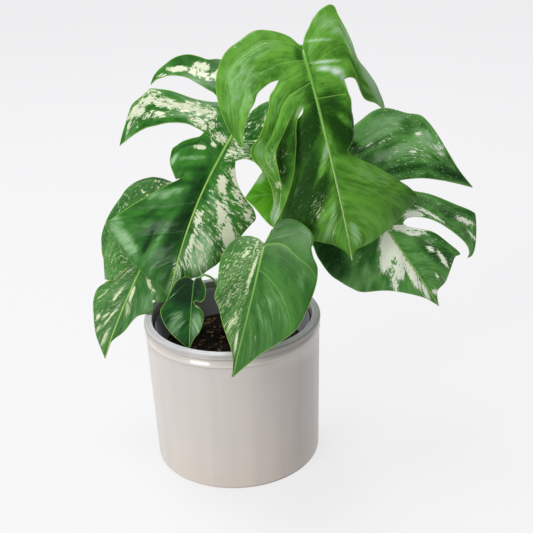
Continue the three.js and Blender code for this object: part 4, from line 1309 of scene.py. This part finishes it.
skin_2 = LeafSkin("leaf_skin_2", srgb(20, 72, 16), srgb(52, 116, 36), srgb(104, 150, 80), 13.0, veins=0.2,
                  lanes=9.0, fine=-0.25, cream_colour=srgb(204, 209, 182))
grow(leaf_2, (left_2, right_2), ((-2.5, -0.85), cream_2, sheen_and_shade_2), 1.5,
     skin_2, dark_under, dark_rib)

# %% [markdown]
# ## Leaf 3, behind on the left
# This leaf hangs outside the pot, half hidden by leaf 2. It is green with long thin cream streaks, and has
# one split on each side.

# %% Outline leaf 3
leaf_3 = Leaf("leaf_3", (-62, 58, 241), (-136, 12, 102), (-0.35, -0.8, 0.5), arch=16, fold=0.03,
              droop=(20, 20), ripple=1.5, rib=2.2, sheath=4, sway=-4,
              stalk=[(-6, 17, 138), (-6, 30, 173), (-9, 44, 202), (-29, 62, 222), (-54, 72, 233)])
left_3 = half(
    [12, 28, 55, 80, 105, 130, 150],
    dict(root=39, drop=6,
         upper=[(5, -12), (6, -24), (16, -31), (28, -31), (35, -30), (44, -27), (52, -21), (58, -14),
                (62, -4), (62, 7), (63, 21), (62, 36), (57, 53), (44, 70)],
         lower=[(17, 82), (23, 86), (33, 89)]),
    waves=1, drop=3,
    edge=[(25, 88), (34, 100), (34, 114), (28, 128), (18, 146), (0, 164)])
right_3 = half(
    [15, 40, 75, 100, 125, 145],
    dict(root=62, drop=6,
         upper=[(3, -10), (18, -10), (36, 3), (50, 24), (52, 50)],
         lower=[(30, 83), (40, 81), (45, 76)]),
    waves=1, drop=3,
    edge=[(35, 94), (20, 107), (12, 127), (1, 145), (0, 164)])

# %% Marble leaf 3 and grow it
cream_3 = [
    (41, -10, 4, 1.6, 170, 2.4), (28, -28, 12, 3, 10, 0.8), (8.5, 96, 10, 1.7, 73, 2.6),
    (7, 120, 16, 1.2, 69, 2.6), (12.5, 121, 8, 1.3, 57, 2.2), (6, 144, 13, 1.9, 78, 2.1),
    (21, 127, 5, 2.6, 75, 2.4), (17, 138, 6, 2, 70, 1.8), (-7, 88, 11, 2.6, 95, 3.6),
    (-9, 102, 12, 4, 105, 2.4), (-21, 70, 9, 2.4, 142, 3.6), (-27, 74, 4, 2.5, 140, 2.6),
    (-3, 72, 8, 1.2, 88, 2.4), (24, 102, 10, 1.4, 60, 1.2), (10, 74, 16, 1.6, 62, 1.0),
    (24, 60, 16, 2, 55, 0.6),
]
# painted sheen (amounts above 0) and painted shade (amounts below 0) on leaf 3
sheen_and_shade_3 = [
    (40, 62, 26, 8, 40, 0.35), (30, 84, 22, 6, 50, 0.2), (-26, 88, 12, 9, 0, 0.35),
    (14, 110, 40, 5, 70, -0.25), (54, 10, 24, 6, 90, -0.2),
]
skin_3 = LeafSkin("leaf_skin_3", srgb(37, 89, 32), srgb(71, 126, 54), srgb(120, 166, 84), 21.0, veins=0.25,
                  fine=0.35)
grow(leaf_3, (left_3, right_3), ((-1.25, -2.3), cream_3, sheen_and_shade_3), 1.1,
     skin_3, dark_under, dark_rib)

# %% [markdown]
# ## Leaf 4, on the right
# The right leaf is deep green with two long lobes, a broad cream wedge to the left of its midrib, and
# scattered flecks on its upper lobe.

# %% Outline leaf 4
leaf_4 = Leaf("leaf_4", (109, 45, 308), (207, -15, 161), (0.2, -0.85, 0.5), arch=16, fold=0.04,
              droop=(20, 24), ripple=2, rib=2.5, sheath=4.4, sway=6,
              stalk=[(15, 17, 138), (36, 26, 189), (66, 40, 231), (95, 56, 280), (107, 60, 297)])
left_4 = half(
    [12, 45, 75, 105, 135, 160],
    dict(root=33, drop=8,
         upper=[(4, -5), (18, -12), (33, -10), (45, 0)],
         lower=[(50, 33), (53, 26), (51, 17)]),
    waves=3, drop=5, rows=12,
    edge=[(65, 37), (74, 53), (75, 67), (77, 78), (76, 98), (71, 111), (66, 121), (59, 131), (42, 141),
          (28, 152), (9, 171), (0, 187)])
right_4 = half(
    [14, 34, 68, 110, 135, 160],
    dict(root=50, drop=10,
         upper=[(8, -5), (20, -8), (33, -10), (45, -11), (61, -12), (73, -9), (82, -2), (92, 9), (104, 18),
                (107, 28), (107, 43), (105, 67), (105, 89)],
         lower=[(25, 60), (34, 61), (55, 71), (74, 84), (90, 96), (110, 111)]),
    dict(root=91, drop=8,
         upper=[(40, 77), (54, 90), (73, 113), (87, 129), (88, 136), (74, 157), (64, 166)],
         lower=[(14, 97), (20, 96), (30, 102), (41, 113), (51, 129), (61, 150), (62, 161), (57, 166)]),
    edge=[(15, 102), (21, 109), (33, 122), (41, 139), (48, 156), (41, 156), (31, 163), (19, 171), (7, 174),
          (0, 187)])

# %% Marble leaf 4 and grow it
cream_4 = [
    (15, 105, 14, 8, 50, 4.6), (22, 117, 15, 7.5, 40, 4.3), (11, 116, 20, 6, 92, 4.2),
    (18, 132, 14, 7, 75, 3.6), (9, 142, 24, 6, 88, 3.3), (28, 140, 18, 5, 75, 2.7),
    (6, 166, 14, 3.4, 88, 3.0), (4, 130, 9, 2, 92, -1.4), (19, 124, 6, 1.6, 120, -1.6),
    (15, 146, 9, 1.8, 78, -1.4), (24, 152, 8, 1.6, 70, -1.2), (46, 104, 18, 8, 30, 0.5),
    (-10, 102, 15, 3.6, 148, 3.4), (-23, 112, 11, 2.6, 140, 2.2), (-13, 110, 14, 3, 140, 2.5),
    (-24, 96, 12, 5, 150, 3.0), (-42, 107, 18, 1.8, 117, 2.4), (-37, 101, 12, 1.6, 117, 2.0),
    (-21, 134, 5, 2.6, 110, 2.8), (-27, 149, 12, 2.6, 97, 2.8), (-13, 160, 4, 1.6, 100, 2.2),
    (-4, 173, 6, 3, 150, 2.2), (-72, 131, 12, 3, 128, 2.7), (-79, 138, 6, 2, 120, 2.2),
    (-73, 149, 11, 1.3, 105, 2.6), (-22, 122, 14, 6, 130, 0.4), (-50, 96, 26, 3, 120, 0.5),
    (-88, 33, 5, 1.8, 172, 3.0), (-68, 44.5, 6, 1.6, 172, 2.8), (-31, 14, 12, 1.2, 173, 2.0),
    (-50, 20, 16, 1.2, 174, 1.4), (-97, 56, 9, 7, 150, 1.5), (-95, 63, 7, 1.8, 145, 2.4),
    (-76, 50, 26, 9, 165, 0.75), (-62, 38, 30, 8, 172, 0.5), (-82, 96, 12, 2, 140, 0.9),
]
# painted sheen (amounts above 0) and painted shade and shadow (amounts below 0) on leaf 4
sheen_and_shade_4 = [
    (-17, 6, 12, 7, 120, -1.2), (-56, 6, 36, 12, 176, 0.7), (-48, 34, 32, 7, 170, 0.8),
    (-90, 40, 18, 12, 110, 0.8), (-34, 22, 16, 3, 172, 0.5), (-44, 17, 26, 2, 172, -0.5),
    (-52, 27, 26, 2, 170, -0.5), (-46, 54, 26, 4, 158, -0.8), (-92, 86, 26, 6, 138, -1.0),
    (66, 84, 24, 12, 90, -1.1), (-22, 140, 26, 7, 110, -0.7), (-34, 150, 12, 5, 100, -0.4),
    (42, 118, 20, 12, 30, 0.35), (34, 102, 18, 6, 20, -0.3), (-60, 116, 24, 3, 125, -0.5),
    (-48, 96, 18, 4, 120, 0.3),
]
skin_4 = LeafSkin("leaf_skin_4", srgb(32, 90, 26), srgb(98, 160, 78), srgb(118, 166, 92), 34.0, veins=0.2,
                  lanes=20.0, cream_colour=srgb(240, 248, 226))
grow(leaf_4, (left_4, right_4), ((-2.1, -1.45), cream_4, sheen_and_shade_4), 1.5,
     skin_4, dark_under, dark_rib)

# %% [markdown]
# ## Leaf 5, at the front
# The front leaf is a whole heart with no splits, hung over the pot's edge. Its left half is finely
# streaked with cream and its right half is plain green, with a few clear veins.

# %% Outline leaf 5
leaf_5 = Leaf("leaf_5", (36, -50, 251), (2, -120, 150), (-0.32, -0.62, 0.8), arch=10, fold=0.08,
              droop=(14, 14), ripple=1.2, rib=1.9, sheath=4.2, sway=-5,
              stalk=[(7, 6, 136), (19, 2, 167), (29, -14, 202), (37, -30, 230)])
left_5 = half(
    [8, 20, 38, 58, 80, 100],
    lean=1.6, waves=3, rows=14, sweep=20,
    edge=[(8, -4), (17, -5), (25, -3), (32, 3), (36, 13), (37, 26), (35, 38), (33, 49), (33, 59), (26, 69),
          (20, 81), (13, 93), (7, 103), (2, 116), (0, 128)])
right_5 = half(
    [4, 27, 56, 86],
    lean=1.9, waves=3, rows=18, sweep=40, onset=1.4,
    edge=[(2, -6), (2, -13), (3, -19), (7, -26), (14, -29), (23, -28), (32, -24), (40, -19), (45, -13),
          (47, -7), (47, -2), (52, 7), (59, 17), (62, 34), (60, 57), (55, 75), (43, 89), (23, 106),
          (10, 118), (0, 128)])

# %% Marble leaf 5 and grow it
cream_5 = [
    (2, 30, 20, 1.5, 90, 2.6), (14, 14, 6, 2.4, 70, 1.6), (10, 10, 13, 9, 60, 0.6),
    (22, 30, 18, 10, 60, 0.4), (8, 79, 10, 4, 70, 1.3), (1, 97, 11, 1.6, 93, 2.0), (30, 8, 6, 12, 90, -0.4),
    (8, 112, 12, 7, 100, -0.6), (-16, 92, 18, 5, 110, 1.3), (-5, 70, 26, 2.5, 98, 1.2),
    (14, 54, 18, 6, 65, 0.4),
]
# painted sheen (amounts above 0) and painted shade (amounts below 0) on leaf 5
sheen_and_shade_5 = [
    (-24, 62, 28, 18, 110, 0.36), (-14, -9, 13, 0.9, 23, 0.62), (-24, -12, 14, 7, 20, -0.25),
    (-48, 30, 20, 6, 95, 0.25), (-8, 34, 22, 4, 110, -0.4), (-44, 64, 16, 6, 110, 0.3),
    (-18, 104, 14, 5, 130, 0.25), (18, 50, 30, 8, 70, -0.3),
]
mid_rib = rib_skin("mid_rib", srgb(124, 170, 82), srgb(98, 148, 72))
skin_5 = LeafSkin("leaf_skin_5", srgb(39, 85, 30), srgb(65, 116, 48), srgb(120, 172, 72), 47.0, last_vein=1,
                  fine=0.55)
grow(leaf_5, (left_5, right_5), ((-1.15, -2.6), cream_5, sheen_and_shade_5), 0.4,
     skin_5, bright_under, mid_rib)

# %% [markdown]
# ## Leaf 6, the small one in the pot
# A small early leaf hangs inside the rim on a thin stalk. It is dark and glossy, with a nick on its right.

# %% Outline leaf 6
leaf_6 = Leaf("leaf_6", (-35, -12, 198), (-41, -56, 146), (-0.1, -0.8, 0.6), arch=5, fold=0.1,
              droop=(8, 8), ripple=0.6, rib=1.1, sheath=2.6, knee=3.5,
              stalk=[(-2, 8, 134), (-11, -2, 166), (-13, -7, 190), (-18, -9, 199), (-25, -10, 203)])
left_6 = half(
    [8, 22, 38, 52],
    lean=1.3, rows=9, sweep=10,
    edge=[(3, -2), (8, -4), (17, 1), (22, 13), (26, 25), (30, 33), (27, 43), (20, 53), (11, 61), (0, 69)])
right_6 = half(
    [8, 22, 38, 52],
    dict(root=19, drop=1,
         upper=[(5, -5), (9, 1), (12, 6), (13, 14), (12, 20)],
         lower=[(2, 23), (4, 22), (8, 23)]),
    lean=1.2, waves=1, rows=7, sweep=10,
    edge=[(5, 28), (9, 30), (12, 34), (13, 41), (10, 52), (4, 60), (0, 69)])

# %% Marble leaf 6 and grow it
cream_6 = [(11, 40, 4, 1.2, 75, 1.4), (9, 36, 3, 1, 75, 1.2)]
# painted sheen and highlight (amounts above 0) and painted shadow at its top (amounts below 0) on leaf 6
sheen_and_shade_6 = [
    (-6, 46, 15, 7, 95, 0.72), (14, 44, 19, 8, 75, 0.6), (6, 8, 20, 13, 80, -1.7),
    (14, 11, 14, 0.7, 49, 1.9),
]
dim_rib = rib_skin("dim_rib", srgb(52, 98, 38), srgb(112, 160, 84))
skin_6 = LeafSkin("leaf_skin_6", srgb(16, 58, 20), srgb(36, 88, 36), srgb(84, 134, 72), 58.0, veins=0,
                  rough=0.3)
grow(leaf_6, (left_6, right_6), ((-2.6, -2.6), cream_6, sheen_and_shade_6), 0.15,
     skin_6, dark_under, dim_rib, stalk=dim_rib)

# %% [markdown]
# ## Leaf 7, the young one
# A young bright leaf sits between the two large ones, and from the front only its corner shows.

# %% Outline leaf 7
leaf_7 = Leaf("leaf_7", (73, 8, 278), (19, -8, 281), (-0.1, -0.85, 0.5), arch=8, fold=0.08,
              droop=(10, 10), ripple=0.8, rib=1.6, sheath=3,
              stalk=[(15, 12, 158), (26, 12, 189), (52, 6, 230), (66, 8, 254), (72, 13, 267)])
left_7 = half(
    [8, 22, 38, 50],
    lean=1.4, sweep=10,
    edge=[(9, -4), (20, -2), (29, 8), (32, 23), (22, 38), (14, 45), (8, 50), (0, 57)])
right_7 = half(
    [8, 22, 38, 50],
    lean=1.4, sweep=10,
    edge=[(6, -5), (22, 2), (34, 15), (37, 26), (32, 36), (23, 43), (12, 49), (0, 57)])

# %% Marble leaf 7 and grow it
# painted sheen on leaf 7
sheen_and_shade_7 = [(17, 40, 9, 5, 130, 0.9), (26, 30, 12, 6, 110, 0.5), (-22, 42, 10, 5, 40, 0.25)]
young_rib = rib_skin("young_rib", srgb(84, 150, 34), srgb(92, 158, 34))
skin_7 = LeafSkin("leaf_skin_7", srgb(52, 122, 16), srgb(88, 158, 28), srgb(130, 184, 70), 63.0, veins=0.15)
grow(leaf_7, (left_7, right_7), ((-2.8, -2.8), [], sheen_and_shade_7), 0.5,
     skin_7, bright_under, young_rib)

# %% [markdown]
# ## Floor
# The plant stands on a plain pale floor, which isn't part of the object.

# %% Lay the floor
FLOOR_REACH = 40           # metres to each side, so that its edge is never seen
floor_mesh = bmesh.new()
bmesh.ops.create_grid(floor_mesh, x_segments=1, y_segments=1, size=FLOOR_REACH)
floor_data = bpy.data.meshes.new("floor")
floor_mesh.to_mesh(floor_data)
floor_mesh.free()
floor = bpy.data.objects.new("floor", floor_data)
scene.collection.objects.link(floor)
paper = Finish("pale_floor", Base_Color=(0.14, 0.14, 0.14, 1), Roughness=0.7, Specular_IOR_Level=0.1,
               Emission_Color=(0.985, 0.985, 1.0, 1), Emission_Strength=0.775)
floor_data.materials.append(paper.material)
floor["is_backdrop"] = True

# %% [markdown]
# ## Check the size and finish
# The dressed plant has to fill the same box as the CAD model. How far the two boxes differ is printed. Both
# boxes are written to a small file.

# %% Measure, print the sizes and finish
bpy.context.view_layer.update()
VISUAL_BOX = [list(corner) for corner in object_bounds()]
for end, visual, cad in zip(("low", "high"), VISUAL_BOX, CAD_BOX):
    print(f"the {end} corner differs by, in mm:", [round((a - b) / MM, 1) for a, b in zip(visual, cad)])
